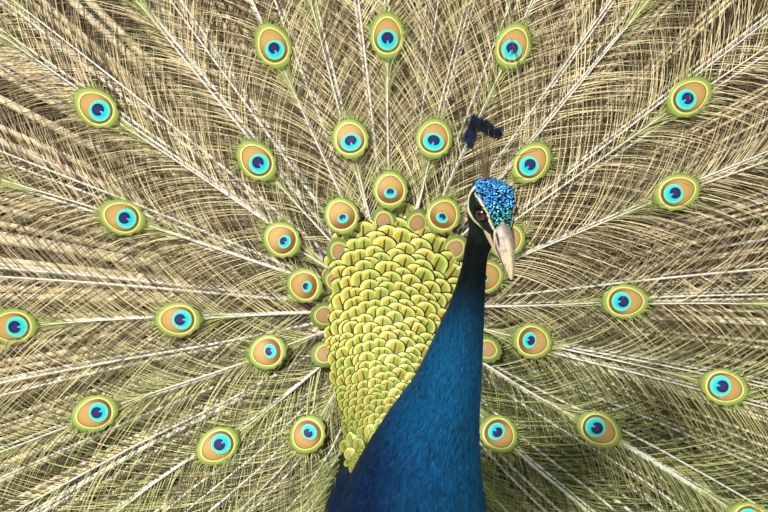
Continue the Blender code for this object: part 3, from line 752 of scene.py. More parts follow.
colour = vane.mix(egg.steps(0.96, 0.99), vane.shaded(bronze, 1 - 0.16 * egg.steps(0.60, 0.97)),
                  vane.mix(egg.steps(1.10, 1.17), yellow, fringe))
colour = vane.mix(disc.steps(0.95, 1.02),
                  vane.mix(disc.steps(0.55, 0.95), rgb(36, 200, 214), rgb(92, 232, 198)), colour)
heart = heart + 0.7 * notch
colour = vane.mix(heart.steps(0.94, 1.04),
                  vane.mix(heart.steps(0.3, 1.0), rgb(46, 34, 104), rgb(24, 22, 76)), colour)
colour = vane.shaded(colour, 1 + (0.06 + 0.30 * egg.steps(1.10, 1.35)) * barbs)
vane.between(vane.attribute("behind"), colour, rgb(112, 94, 66)).bump(barbs, 0.0003, 0.12)


# %% A vane: an egg-shaped disc with a front and a back
def vane_template(name, segments=26, rings=(0.3, 0.52, 0.7, 0.86, 1.0, 1.08, 1.16)):
    """Polar grid, one unit to its side, with its tip towards +Y; the back is a second, coarser face."""
    points, behind = [(0, 0, 0.10)], [0.0]
    rows = [(share, 0.10 * (1 - share ** 2), 0.0) for share in rings]
    rows += [(1.17, -0.050, 1.0), (0.5, 0.03, 1.0)]
    for share, height, hidden in rows:
        for k, a in enumerate(np.linspace(0, 2 * math.pi, segments, endpoint=False)):
            from_root = (math.pi - abs(a - math.pi * 2 * (a > math.pi))) / 0.42
            rough = 1.0 + (0.06 if k % 2 else -0.05) * (share > 1.12)
            rough += 1.7 * max(share - 1.06, 0) * math.exp(-from_root ** 2)
            reach = (1.34 if math.cos(a) > 0 else 1.22) * rough
            points.append((math.sin(a) * share * rough, math.cos(a) * share * reach, height))
            behind.append(hidden)
    points.append((0, 0, 0.05))
    behind.append(1.0)
    after = [(k, (k + 1) % segments) for k in range(segments)]
    faces = [(0, 1 + b, 1 + a) for a, b in after]
    for first in range(1, 1 + (len(rows) - 1) * segments, segments):
        faces += [(first + a, first + b, first + segments + b, first + segments + a) for a, b in after]
    faces += [(len(points) - 1 - segments + a, len(points) - 1 - segments + b, len(points) - 1)
              for a, b in after]
    points = np.array(points)
    return reworked(mesh_of(name, points, faces, local=points, patch=points * 0.32 + 0.5,
                            behind=np.array(behind)), face_out)


# %% Eye-spots laid on their feathers
VANE_GRID = 14                             # the bake map holds the vanes in a grid of this many a side
SHIELD_EYES = [(-64, 0.072), (-43, 0.088), (-6, 0.099), (16, 0.100), (46, 0.098), (114, 0.116),
               (-125, 0.092),
               (-96, 0.078), (78, 0.084)]  # bare discs round the shield: angle and radius
spots = np.concatenate([eyes, np.array(SHIELD_EYES, float)])
bare = np.arange(len(spots)) >= len(eyes)
spread = np.stack([spots[:, 1] * np.sin(np.radians(spots[:, 0])),
                   spots[:, 1] * np.cos(np.radians(spots[:, 0]))], 1)
near = np.linalg.norm(spread[:, None] - spread[None], axis=2) < 0.026
alone = ~np.tril(near, -1).any(1) | (np.abs(spots[:, 0]) < 95)     # low at the side none lies on another
spots, bare = spots[alone], bare[alone]
angle, end = spots.T
half = 0.0170 + 0.0050 * smooth(end, 0.2, 1.1) - 0.0012 * (1 - smooth(end, 0.10, 0.2)) - 0.0036 * bare
pattern = np.where(bare, 0.10, 0.60 + 0.42 * smooth(end, 0.11, 0.21)) * draw.uniform(0.95, 1.05, len(spots))
middle, face = fan(angle, end, 0 * end, layer(end) + 0.0034 + 0.004 * (~bare) * smooth(-end, -0.3, -0.1))
outward, _ = fan(angle, end + 0.02, 0 * end, layer(end) + 0.0034)
face = face + draw.normal(0, 0.05, face.shape)
rounder = end < 0.2
lay_in_cells("train_eye_spots", vane_template("vane"), vane, "train_feather", middle,
             unit(outward - middle) + draw.normal(0, 0.03, face.shape), unit(face),
             np.stack([half * (1.0 + 0.05 * rounder), half * (1.0 - 0.12 * rounder), half], 1),
             third="pattern", side=VANE_GRID, fill=0.98, pattern=pattern)

# %% [markdown]
# ## The soft edge of each eye-spot
#
# Round the firm vane the barbs come loose again. Yellow-green ones stand off its rim, and longer ones
# leave the shaft below it and close round it, which draws the halo to a point at the base.

# %% Halo barbs
HALO, CLOSING = 84, 40                     # loose barbs round one vane, and barbs that close round its base
angle, end, half = angle[~bare], end[~bare], half[~bare]


def painted(count, green, tone):
    """Greenness and tone of barbs, given as a middle and a spread."""
    return dict(green=some(*green, count), rosy=np.zeros(count), tone=some(*tone, count))


which = np.repeat(np.arange(len(end)), HALO)
turn = np.tile(np.linspace(0.0, 2 * math.pi, HALO, endpoint=False), len(end))
turn = turn + draw.normal(0, 0.06, len(which))
sideways, forwards = np.sin(turn), np.cos(turn)
across, past = half[which] * sideways, half[which] * forwards * np.where(forwards > 0, 1.34, 1.22)
height = layer(end[which]) + 0.0016 + draw.normal(0, 0.0005, len(which))
base, tip, face = leaving(angle[which], end[which] + past, across, height,
                          0.01 * (np.maximum(forwards, -0.1) + 0.80), across + 0.01 * sideways * 0.62)
tip = tip + face * draw.normal(0.02, 0.08, len(which))[:, None]
length = draw.uniform(0.012, 0.021, len(which)) * (0.85 + 0.35 * (forwards < 0.3))
rim = dict(co=base, tip=tip, face=face, size=np.stack([length * 4.0, length, length], 1),
           kind=draw.integers(0, 3, len(which)) + 3 * (sideways < 0),
           root=unrolled(angle[which], end[which]),
           **painted(len(which), (0.88, 0.1), (0.66, 0.25)))

which = np.repeat(np.arange(len(end)), CLOSING)
way = np.tile([1, -1], len(which) // 2)
below = draw.uniform(0.4, 3.4, len(which)) * half[which]
at = end[which] - 1.1 * half[which] - below
lean = np.radians(11 + 7 * draw.random(len(which)) + 12 * np.exp(-below / half[which]))
height = layer(end[which]) + 0.0004 + draw.normal(0, 0.0006, len(which))
base, tip, face = leaving(angle[which], at, way * 0.0006, height, 0.02 * np.cos(lean),
                          way * 0.02 * np.sin(lean))
tip = tip + face * draw.normal(0.0, 0.03, len(which))[:, None]
length = 1.9 * half[which] + 0.75 * below * draw.uniform(0.8, 1.1, len(which))
wrap = dict(co=base, tip=tip, face=face, size=np.repeat(length[:, None], 3, 1),
            kind=draw.integers(0, 3, len(which)) + 3 * (way < 0), root=unrolled(angle[which], at),
            **painted(len(which), (0.85, 0.12), (0.62, 0.25)))
lay("train_eye_halos", barb_templates, barb, "train_feather",
    **{key: np.concatenate([rim[key], wrap[key]]) for key in rim})

# %% [markdown]
# ## Fish-tail tips
#
# The longest feathers have no eye: they end in a forked spray, dark green and crescent-shaped, which makes
# the lacy outer edge of the train.

# %% Sprays at the rim
SPRAY = 34
angle, end = np.repeat(rims, SPRAY, 0).T
way = np.tile([1, -1], len(end) // 2)
at = end - draw.uniform(0.0, 0.05, len(end))
lean = np.radians(draw.uniform(12, 62, len(end)))
base, tip, face = leaving(angle, at, way * 0.0004, layer(end), 0.02 * np.cos(lean),
                          way * 0.02 * np.sin(lean))
length = (0.036 + 0.022 * np.sin(lean)) * draw.uniform(0.85, 1.1, len(end)) * np.clip(end, 0.6, 1.0)
lay("train_fish_tails", barb_templates, barb, "train_feather", base,
    tip + face * draw.normal(0, 0.04, len(end))[:, None], face,
    np.stack([length * 1.5, length, length], 1), unrolled(angle, np.minimum(at, 1.2)),
    draw.integers(0, 3, len(end)) + 3 * (way > 0), **painted(len(end), (0.7, 0.15), (0.3, 0.2)))

# %% [markdown]
# ## The dull layer behind
#
# Behind the open barbs lie more feathers, deep in shade: the gaps in the lace are dark brown. A ragged
# sheet on the dish stands for that packed layer, with coarse barbs laid over its back. Its dark brown is
# painted shade, lighter towards the rim where fewer layers lie behind.

# %% The backing sheet
shade_layer = Finish("packed_barbs_brown", roughness=0.85)
streak, fine = shade_layer.noise(120.0, 4.0), shade_layer.noise(620.0)
# painted shade: dark brown in place of the shadow among the packed feathers, paler towards the rim
brown = shade_layer.mix(streak.steps(0.35, 0.68), rgb(26, 19, 10), rgb(66, 50, 28))
brown = shade_layer.mix(shade_layer.attribute("reach").steps(0.70, 1.0) * 0.8, brown, rgb(124, 106, 70))
shade_layer.shade(base_color=shade_layer.shaded(brown, 0.7 + 0.6 * fine))
shade_layer.bump(fine, 0.002, 0.6)

SHEET_ROWS, SHEET_COLUMNS, SHEET_START = 16, 240, 0.062
degrees = np.linspace(-TRAIN_SPREAD - 3, TRAIN_SPREAD + 3, SHEET_COLUMNS + 1)
edge = 0.84 * train_reach(degrees) * (1 - 0.02 * draw.random(len(degrees)))
points = [fan(degrees, SHEET_START + (edge - SHEET_START) * step, 0 * degrees, 0 * degrees + half_thick)[0]
          for half_thick in (0.0004, -0.0004) for step in np.linspace(0, 1, SHEET_ROWS)]
faces = grid_faces(SHEET_ROWS - 1, SHEET_COLUMNS, flip=True)
faces += grid_faces(SHEET_ROWS - 1, SHEET_COLUMNS, SHEET_ROWS * len(degrees))
reach = np.repeat(np.tile(np.linspace(0, 1, SHEET_ROWS), 2), len(degrees))
sheet = shown("train_backing", mesh_of("train_backing", np.concatenate(points), faces, reach=reach))
shade_layer.dress(sheet.data)
finished(sheet, "train_feather", *[f"train_{n:02d}" for n in range(1, 12)])

# %% Coarse barbs and pale shafts over the back of the train
dull = Finish("barb_back_brown", roughness=0.7)
# tone carries the painted shade made in barb_roots
colour = dull.mix(dull.attribute("tone"), rgb(96, 80, 54), rgb(176, 156, 118))
dull.shade(base_color=dull.shaded(colour, 0.75 + 0.5 * dull.noise(400.0)))
picked = order[::2]
BACK_GAP = 0.0125
roots = barb_roots(picked, BACK_GAP, BACK_GAP, front=0.3)
behind = 0.0035 + layer(0.9) + 0.004 * draw.random(len(roots["co"]))
roots["co"] = roots["co"] - roots["face"] * behind[:, None]
roots["size"] = np.stack([roots["size"] * 1.9, roots["size"], roots["size"]], 1)
lay("train_back_barbs", barb_templates, dull, "train_feather", **roots)
quill_back = Finish("quill_back", roughness=0.6)
quill_back.between(quill_back.noise(200.0, 3.0), rgb(206, 188, 150), rgb(150, 130, 96))
shafts("train_back_shafts", feather_angle[picked], 0.065, feather_end[picked] - 0.010,
       0.0030 - 0.0021 * STEP,
       -(0.0075 + layer(0.9)) * smooth(STEP, 0, 0.15) - 0.001, quill_back)

# %% [markdown]
# ## One skin over the body
#
# Under the feathers a bird is a single smooth form. The solids of flesh are grown by a hair so that they
# touch, fused by a voxel remesh, relaxed until no seam shows, and then drawn in by the depth of the coat.

# %% Fuse solids
def merged(node):
    """A welded copy of a solid's mesh."""
    bm = bmesh.new()
    bm.from_mesh(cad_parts[node].data)
    bmesh.ops.remove_doubles(bm, verts=bm.verts, dist=1e-5)
    bm.normal_update()
    return bm


def fused(name, nodes, grow, voxel, factor, times):
    """The solids grown a little along their normals, fused by a voxel remesh and relaxed."""
    gather = bmesh.new()
    for node in nodes:
        bm = merged(node)
        for v in bm.verts:
            v.co += v.normal * grow
        part = bpy.data.meshes.new(node)
        bm.to_mesh(part)
        bm.free()
        gather.from_mesh(part)
    mesh = bpy.data.meshes.new(name)
    gather.to_mesh(mesh)
    gather.free()
    made = shown(name, mesh)
    remesh, relax = made.modifiers.new("fuse", "REMESH"), made.modifiers.new("relax", "SMOOTH")
    remesh.mode, remesh.voxel_size, remesh.use_smooth_shade = "VOXEL", voxel, True
    relax.factor, relax.iterations = factor, times
    settled(made)
    return made


# %% The skin, finer and closer to the solid at the head
FLESH = ["head", "neck_lower", "neck_middle", "neck_upper", "trunk", "back_shield", "tail_root", "undertail",
         "thigh_left", "thigh_right", "wing_arm_left", "wing_arm_right"]
OVERLAP = 0.0006
owners, owner_points, owner_faces = [], [], []
for number, node in enumerate(FLESH):
    bm = merged(node)
    start = len(owner_points)
    owner_points += [v.co.copy() for v in bm.verts]
    owner_faces += [[start + v.index for v in f.verts] for f in bm.faces]
    owners += [number] * len(bm.faces)
    bm.free()
flesh_tree = BVHTree.FromPolygons(owner_points, owner_faces)
skin = fused("skin", FLESH, grow=OVERLAP, voxel=0.0034, factor=0.6, times=6)


def finer_head(bm):
    """Split and smooth the head, then bring it back to the solid, because smoothing shrinks a small form."""
    def from_head(v):
        return (v.co - HEAD_CENTRE).length

    near = [e for e in bm.edges if all(from_head(v) < 0.040 for v in e.verts)]
    bmesh.ops.subdivide_edges(bm, edges=near, cuts=2, use_grid_fill=True)
    close = [v for v in bm.verts if from_head(v) < 0.042]
    for again in range(3):
        shift = []
        for v in close if again else ():
            hit, normal, _, _ = flesh_tree.find_nearest(v.co)
            shift.append(-(v.co - hit).dot(normal) * v.normal if normal.dot(v.normal) > 0.6 else Vector())
        for v, move in zip(close, shift):
            v.co += move * (1 - float(smooth(from_head(v), 0.032, 0.042)))
        for _ in range(3):
            bmesh.ops.smooth_vert(bm, verts=close, factor=0.5, use_axis_x=True, use_axis_y=True,
                                  use_axis_z=True)
        bm.normal_update()
    bmesh.ops.triangulate(bm, faces=[f for f in bm.faces if len(f.verts) > 4])


def owners_of(points):
    """The solid that each point belongs to, as an index into FLESH."""
    return np.array([owners[flesh_tree.find_nearest(Vector(p))[2]] for p in points])


reworked(skin.data, finer_head)
print("skin:", len(skin.data.vertices), "points")

# %% [markdown]
# ## Which feathers grow where
#
# Blue on the neck and breast, golden scales on the back and the raised shield, barred coverts on the arm,
# green-black on the belly, grey-brown down under the tail. One set of rules gives these regions for both
# the skin and the coat, so that the two carry the same markings.

# %% Regions
HEAD_AXES = np.array(HEAD_TURN.inverted())


def head_places(points):
    """Forward, sideways and up in the head's own directions."""
    local = (points - np.array(HEAD_CENTRE)) @ HEAD_AXES.T
    return -local[:, 1], local[:, 0], local[:, 2]


def is_one(owner, *names):
    return np.isin(owner, [FLESH.index(n) for n in names])


def regions(points, owner):
    """Shares, 0 to 1, of each kind of plumage at each point."""
    x, y, z = points.T
    trunk, shield = is_one(owner, "trunk"), is_one(owner, "back_shield")
    back = smooth(z - 0.340 + 0.25 * (y + 0.10), -0.006, 0.006) * smooth(y, -0.125, -0.105)
    back = back * (1 - smooth(np.abs(x) - 0.060 + 1.1 * np.maximum(0.39 - z, 0) * (y < 0.04), -0.003, 0.003))
    past = smooth(-x - 0.060 + 0.5 * np.maximum(0.378 - z, 0), -0.002, 0.002) * (z < 0.385) * (y < 0.04)
    gold = np.where(shield, 1.0 - past, np.where(trunk, back, 0.0))
    shoulder = smooth(y, -0.10, -0.07) * smooth(z, 0.285, 0.310)
    belly = trunk * (1 - gold) * np.maximum(smooth(y - 0.5 * (z - 0.25), -0.045, 0.01),
                                            shoulder) + shield * past
    down = 1.0 * is_one(owner, "undertail", "tail_root")
    thigh = 1.0 * is_one(owner, "thigh_left", "thigh_right")
    wing = 1.0 * is_one(owner, "wing_arm_left", "wing_arm_right")
    head = 1.0 * is_one(owner, "head")
    blue = np.clip(1 - gold - belly - down - thigh - wing, 0, 1)
    return dict(gold=gold, belly=belly, down=down, thigh=thigh, wing=wing, head=head, blue=blue)


# %% Face: bare stripes, crown and the horny rim of the bill
OVER_EYE = [(-0.0085, 0.0098), (-0.0010, 0.0122), (0.0070, 0.0120), (0.0150, 0.0090), (0.0220, 0.0046),
            (0.0300, -0.0002)]             # paths on the side of the head, forward and up
UNDER_EYE = [(-0.0160, 0.0056), (-0.0135, -0.0012), (-0.0092, -0.0066), (-0.0005, -0.0102),
             (0.0085, -0.0112),
             (0.0150, -0.0110)]
CROWN_EDGE = [(-0.030, 0.000), (-0.0180, 0.0062), (-0.0060, 0.0116), (0.0060, 0.0124), (0.0150, 0.0094),
              (0.0230, 0.0046), (0.0300, 0.0010)]


def near_path(forward, up, path):
    """Distance from a path given as (forward, up) stations."""
    best = np.full(len(forward), 9.0)
    for (f0, u0), (f1, u1) in zip(path, path[1:]):
        run = np.array([f1 - f0, u1 - u0])
        t = np.clip(((forward - f0) * run[0] + (up - u0) * run[1]) / (run @ run), 0, 1)
        best = np.minimum(best, np.hypot(forward - f0 - t * run[0], up - u0 - t * run[1]))
    return best


def face_marks(points):
    """Bare white stripes, the crown, and the horny rim of the bill, for points on the head."""
    forward, sideways, up = head_places(points)
    beside = np.abs(sideways) > 0.004
    over = 1 - smooth(near_path(forward, up, OVER_EYE), 0.0003, 0.0009)
    under = 1 - smooth(near_path(forward, up, UNDER_EYE), 0.0034, 0.0042)
    crown = smooth(up - np.interp(forward, *zip(*CROWN_EDGE)), 0.0004, 0.0016)
    crown = crown * smooth(forward, -0.030, -0.027)
    white = np.clip(over + under, 0, 1) * beside
    white *= smooth(np.hypot(forward - EYE_FORWARD, up - EYE_UP), 0.0076, 0.0082)
    horny = smooth(forward - 0.0215 - 1.5 * np.abs(sideways), -0.0006, 0.0006) * (up > 0)
    gape = smooth(forward, 0.0155, 0.0175) * smooth(-up - 0.0080, 0.0, 0.0010)
    gape = gape * smooth(up + 0.0160, 0.0, 0.0010)
    horny = np.maximum(horny, gape * beside)
    return white * (1 - horny), crown * (1 - np.clip(over, 0, 1)) * (1 - horny), horny


# %% Draw the skin in by the depth of the coat, and model the face
COAT_DEPTH = dict(blue=0.0022, gold=0.0030, belly=0.004, down=0.007, thigh=0.004, wing=0.003)
LID, OPENING, BLEND = 0.0069, (0.0064, 0.0067), (0.0070, 0.0092)        # distances from the eye's own axis
co, normal = points_of(skin.data), normals_of(skin.data)
masks = regions(co, owners_of(co))
white, crown, horny = face_marks(co)
near_head = 1 - smooth(np.linalg.norm(co - np.array(HEAD_CENTRE), axis=1), 0.028, 0.045)
depth = sum(deep * masks[key] for key, deep in COAT_DEPTH.items())
depth = depth * (1 - near_head) + near_head * (0.0007 + 0.0006 * crown)
co -= normal * (depth + OVERLAP)[:, None]
forward, sideways, up = head_places(co)
for way in (1, -1):                        # the eye's opening, with a lid round the ball
    middle, outward = (np.array(v) for v in eye_of(way))
    height = (co - middle) @ outward
    wide = np.linalg.norm(co - middle - height[:, None] * outward, axis=1)
    ball = np.sqrt(np.maximum(EYE_RADIUS ** 2 - wide ** 2, 0))
    lid = np.exp(-((wide - LID) / 0.0004) ** 2)
    want = np.maximum(np.minimum(height, ball + 0.0010), ball + 0.0003 + 0.0003 * lid)
    want = np.where(smooth(wide, *OPENING) < 0.5, 0.0005, want)
    want = want * (1 - smooth(wide, *BLEND)) + height * smooth(wide, *BLEND)
    co += np.where((height > -0.004) & (wide < 0.012), want - height, 0.0)[:, None] * outward
aside = np.abs(sideways)
cheek = np.exp(-((forward + 0.004) / 0.010) ** 2 - ((up + 0.019) / 0.011) ** 2) * smooth(aside, 0.004, 0.012)
brow = np.exp(-((up - 0.010) / 0.007) ** 2 - ((forward - 0.001) / 0.016) ** 2) * smooth(aside, 0.006, 0.014)
ridge = np.exp(-(near_path(forward, up, OVER_EYE) / 0.0018) ** 2) * (aside > 0.006)
for height in (0.0028 * cheek, 0.0026 * brow * masks["head"], 0.0005 * ridge * masks["head"]):
    co += normal * height[:, None]
skin.data.vertices.foreach_set("co", co.ravel())
skin.data.update()
masks.update(white=white * masks["head"], crown=crown * masks["head"], horny=horny * masks["head"])
mark(skin.data, **masks)
finished(skin, "blue_feather", *FLESH)
print("face points:", int((near_head > 0.5).sum()), "white share:",
      round(float(white[near_head > 0.5].mean()), 3))

# %% The colours of the plumage, written once
def plumage(finish):
    """Base colour by place and by the region attributes, shared by skin and coat."""
    px, py, pz = finish.place()
    patchy, mottled = finish.noise(9.0, 3.0), finish.noise(170.0)
    # painted light and shade: deep navy towards the bird's right (negative x), bright blue right of the
    # middle, set by place
    middle = px - 0.030 + 0.13 * (pz - 0.40) + 0.9 * (0.36 - pz).most(0.0)
    colour = finish.mix((middle + 0.055 * (patchy - 0.5)).steps(-0.060, 0.0), rgb(7, 38, 76),
                        rgb(8, 74, 120))
    colour = finish.mix((middle + 0.06 * (patchy - 0.5)).steps(-0.02, 0.06), colour, rgb(14, 96, 146))
    colour = finish.mix((pz + 0.03 * (patchy - 0.5)).steps(0.520, 0.625), colour, rgb(4, 26, 32))
    colour = finish.shaded(colour, 1 - 0.5 * pz.steps(0.585, 0.650))
    rim = finish.mix((0 - py - 0.070).steps(-0.03, 0.02), rgb(20, 120, 104), colour)
    colour = finish.mix(pz.steps(0.47, 0.50), rim, colour)
    fleck = mottled.steps(0.3, 0.7)
    for name, share, dark, light in (("belly", mottled, rgb(10, 26, 24), rgb(18, 52, 44)),
                                     ("down", fleck, rgb(66, 54, 42), rgb(122, 104, 82)),
                                     ("thigh", fleck, rgb(150, 120, 84), rgb(188, 160, 120)),
                                     ("gold", mottled, rgb(70, 80, 24), rgb(120, 124, 40))):
        colour = finish.mix(finish.attribute(name), colour, finish.mix(share, dark, light))
    return colour


hide = Finish("skin_and_underfeather", roughness=0.6, specular_ior_level=0.25)
# painted shade: the skin and under-feather take the plumage colour at 0.45, for the shade beneath the tufts
colour = hide.shaded(plumage(hide), 0.45)
chalk = hide.mix(hide.noise(700.0), rgb(206, 200, 160), rgb(236, 232, 204))
for name, tint in (("head", rgb(8, 22, 26)), ("wing", rgb(88, 74, 56)), ("white", chalk),
                   ("horny", hide.mix(hide.noise(300.0, 3.0), rgb(176, 152, 116), rgb(206, 186, 150)))):
    colour = hide.mix(hide.attribute(name), colour, tint)
hide.shade(base_color=colour)
hide.bump(hide.noise(900.0), 0.0005, 0.6)
hide.dress(skin.data)

# %% [markdown]
# ## Roots on the skin
#
# A coat starts with its roots: random places on the skin, thinned so that there is one in each small
# cell. Each root knows its normal, its region and the way its feathers lie: down the neck, back along
# the flanks, and up the golden back towards the train.

# %% Sample the skin
mesh = skin.data
mesh.calc_loop_triangles()
triangles = np.zeros(len(mesh.loop_triangles) * 3, np.int32)
mesh.loop_triangles.foreach_get("vertices", triangles)
triangles = triangles.reshape(-1, 3)
skin_points, skin_normals = points_of(mesh), normals_of(mesh)
skin_x, skin_y, skin_z = skin_points.T
corner = skin_points[triangles]
area = np.linalg.norm(np.cross(corner[:, 1] - corner[:, 0], corner[:, 2] - corner[:, 0]), axis=1) / 2


def roots_where(mask, cell, tries=7.0):
    """Roots where a mask holds, one to a cell of that size: their places, normals and masks."""
    weight = area * (mask[triangles].mean(1) > 0.5)
    count = int(tries * weight.sum() / cell ** 2)
    pick = draw.choice(len(triangles), count, p=weight / weight.sum())
    a, b = draw.random(count), draw.random(count)
    a, b = np.where(a + b > 1, 1 - a, a), np.where(a + b > 1, 1 - b, b)
    blend = np.stack([1 - a - b, a, b], 1)
    place = (corner[pick] * blend[:, :, None]).sum(1)
    _, kept = np.unique(np.floor(place / cell).astype(np.int64) @ np.array([1, 4096, 4096 ** 2]),
                        return_index=True)
    kept = np.sort(kept)
    corners, blend = triangles[pick[kept]], blend[kept]
    return (place[kept], unit((skin_normals[corners] * blend[:, :, None]).sum(1)),
            {key: (values[corners] * blend).sum(1) for key, values in masks.items()})


def box_unwrap(place, normals):
    """The skin's own shape laid out as six views along its own axes, side by side."""
    axis = np.abs(normals).argmax(1)
    facing = np.take_along_axis(normals, axis[:, None], 1)[:, 0] > 0
    flat = (place - skin_points.min(0)) / (np.ptp(skin_points, axis=0).max() * 1.02)
    u, v = np.where(axis == 0, flat[:, 1], flat[:, 0]), np.where(axis == 2, flat[:, 1], flat[:, 2])
    return np.stack([(axis + u) / 3.0, (facing + v) / 2.0], 1) * 0.99


def flat_on(way, normals):
    """A direction without its part along the normal."""
    return way - normals * (way * normals).sum(1)[:, None]


def lie(place, share):
    """The way feathers point at each root."""
    _, y, z = place.T
    behind = smooth(y - 0.6 * (z - 0.30), -0.16, -0.02)[:, None]
    way = np.array([-0.22, 0.36, -0.90]) * (1 - behind) + np.array([0, 0.75, -0.65]) * behind
    back_of_head = -np.array(HEAD_TURN @ Vector((0, -1, 0))) + 0.25 * np.array([0, 0.4, -1.0])
    for key, heading in (("gold", (0, 0.7, 0.7)), ("down", (0, 0.75, 0.45)), ("thigh", (0, 0.55, -0.75)),
                         ("wing", (0, 0.62, -0.72)), ("head", back_of_head)):
        way = way * (1 - share[key])[:, None] + share[key][:, None] * np.array(heading)
    return way


def coat(name, templates, finish, slot, mask, cell, length, rise, jitter=0.10):
    """Tufts over a region. length is metres, or a function of height; rise lifts the tips."""
    place, normals, share = roots_where(mask, cell)
    way = unit(flat_on(lie(place, share), normals)) + draw.normal(0, jitter, place.shape)
    way = unit(flat_on(way, normals))
    size = (length(place[:, 2]) if callable(length) else length) * draw.uniform(0.8, 1.2, len(place))
    tip = unit(way + normals * (rise * draw.uniform(0.6, 1.4, len(place)))[:, None])
    return lay(name, templates, finish, slot, place + normals * 0.0002, tip, normals, size,
               box_unwrap(place, normals), kind=draw.integers(0, len(templates), len(place)),
               tone=some(0.5, 0.22, len(place)),
               **{key: share[key] for key in ("belly", "down", "thigh", "gold")})


# %% Templates for short body feathers
def tuft(name, spread, count, half, curl):
    """A few fine pointed blades fanned from one root, one unit long, curling down to the body."""
    return blades(name, *[[(spread * f * t * (0.6 + 0.4 * t), t * (1 - 0.22 * f * f),
                            -curl * t * t + 0.02 * (k % 2),
                            half * (1 - 0.85 * t * t)) for t in (0.0, 0.55, 1.0)]
                          for k, f in enumerate(np.linspace(-1, 1, count))])


HAIR = [tuft("hair_0", 0.24, 3, 0.052, 0.10), tuft("hair_1", 0.34, 4, 0.042, 0.14),
        tuft("hair_2", 0.18, 3, 0.046, 0.06)]
FLUFF = [tuft("fluff_0", 0.55, 5, 0.030, 0.22), tuft("fluff_1", 0.42, 5, 0.026, 0.05)]

# %% [markdown]
# ## Blue neck and breast
#
# Peacock blue comes from fine structure in the feather, not from dye: it is deep navy where the surface
# turns away and bright where it faces the light. Here that light and shade are painted into the colour by
# place: navy on the bird's right side, bright blue right of the middle. The tufts are short and fine as
# hair on the upper neck, longer on the breast.

# %% The blue coat
blue = Finish("feather_blue", roughness=0.55, metallic=0.18, specular_ior_level=0.12)
blue.shade(base_color=blue.shaded(plumage(blue),
                                  0.45 + 1.1 * blue.attribute("tone") * (0.5 + 1.0 * blue.noise(420.0))))


def blue_length(z):
    """Metres, by height above the floor."""
    return 0.0105 - 0.0040 * smooth(z, 0.40, 0.60) - 0.001 * smooth(z, 0.60, 0.68)


body = masks["blue"] * (1 - masks["head"])
high = skin_z > 0.47
coat("coat_neck", HAIR, blue, "blue_feather", body * high, cell=0.0024, length=blue_length, rise=0.13)
coat("coat_breast", HAIR, blue, "blue_feather", body * ~high, cell=0.0031, length=blue_length, rise=0.13)

# %% [markdown]
# ## Belly, thighs and down
#
# Behind the breast the feathers darken to green-black. The thighs are buff, and the down under the raised
# tail is long, soft and grey-brown: it stands out from the body instead of lying flat.

# %% Longer, softer tufts
soft = Finish("feather_soft", roughness=0.75, specular_ior_level=0.3)
soft.shade(base_color=soft.shaded(plumage(soft), 0.6 + 0.8 * soft.attribute("tone")))
coat("coat_belly", HAIR, soft, "blue_feather", masks["belly"], cell=0.0044, length=0.014, rise=0.14)
coat("coat_thighs", HAIR, soft, "down", masks["thigh"], cell=0.0042, length=0.015, rise=0.16)
coat("coat_under_tail", FLUFF, soft, "down", masks["down"],
     cell=0.0060, length=0.026, rise=0.55, jitter=0.25)

# %% [markdown]
# ## Golden scales
#
# On the back and the raised shield the feathers are rounded and overlap like tiles. Each is
# yellow-green with fine rays, a brown streak from its root and a thin dark rim. Rows are laid on arcs
# round a point below the shield, small below and large above, each row over the one above it.

# %% The scale finish
scale = Finish("scale_gold", roughness=0.36, metallic=0.30, specular_ior_level=0.6)
x, y, s = scale.own("spot")
far = ((x / 0.98) ** 2.0 + ((y - 0.56).most(0.0) / 0.44) ** 2.0) ** 0.5
ray = scale.node("ShaderNodeMath", {"operation": "ARCTAN2"}, {0: x, 1: y + 0.25})
rays = (ray * 46.0 + s * 3.0).sine()
# painted light and shade: one half of each scale yellower and lighter, the other greener and darker, as its
# two slopes catch the light; tone moves the split at random
sided = (x * 0.7 + 0.5 + 1.0 * (scale.attribute("tone") - 0.5)).steps(0.0, 1.0)
leaf = scale.shaded(scale.mix(sided, rgb(204, 190, 76), rgb(166, 184, 72)), 0.80)
leaf = scale.mix(far.steps(0.35, 0.86), leaf, scale.mix(sided, rgb(246, 238, 126), rgb(222, 232, 118)))
streak = (1 - (abs(x) / (0.045 + 0.17 * (0.90 - y).most(0.0))).steps(0.5, 1.0)) * (1 - y.steps(0.76, 0.88))
leaf = scale.mix(streak * 0.95, leaf, rgb(84, 42, 16))
leaf = scale.mix(far.steps(0.855, 0.890), leaf, rgb(18, 24, 6))
# painted light and shade: scales low on the back are darker and those above a little brighter, as light
# falls from above; the low ones are also greener
greener_shaded = scale.shaded(scale.mix(0.4, leaf, rgb(112, 148, 56)), 0.74)
leaf = scale.mix(scale.place()[2].steps(0.34, 0.52), greener_shaded, scale.shaded(leaf, 1.06))
scale.shade(base_color=scale.shaded(leaf, 1 + 0.06 * rays))
scale.bump(rays, 0.0002, 0.25)


def scale_template(name, rows=9):
    """A rounded tile, two units wide and one long from its root at 0, with its face towards +Z."""
    def point(v, f):
        v = 1 - (1 - v) ** 1.5
        half = math.sqrt(max(1 - (max(v - 0.56, 0) / 0.44) ** 2, 0.0))
        half *= 0.45 + 0.55 * min(v / 0.5, 1) ** 0.6
        return f * half * 0.98, v, 0.05 * (1 - f * f * half * half) + 0.02 * v * v - 0.10 * f * f * half
    return grid_template(name, rows, rows, point, (0.49, 0.98), (0.5, 0.01))


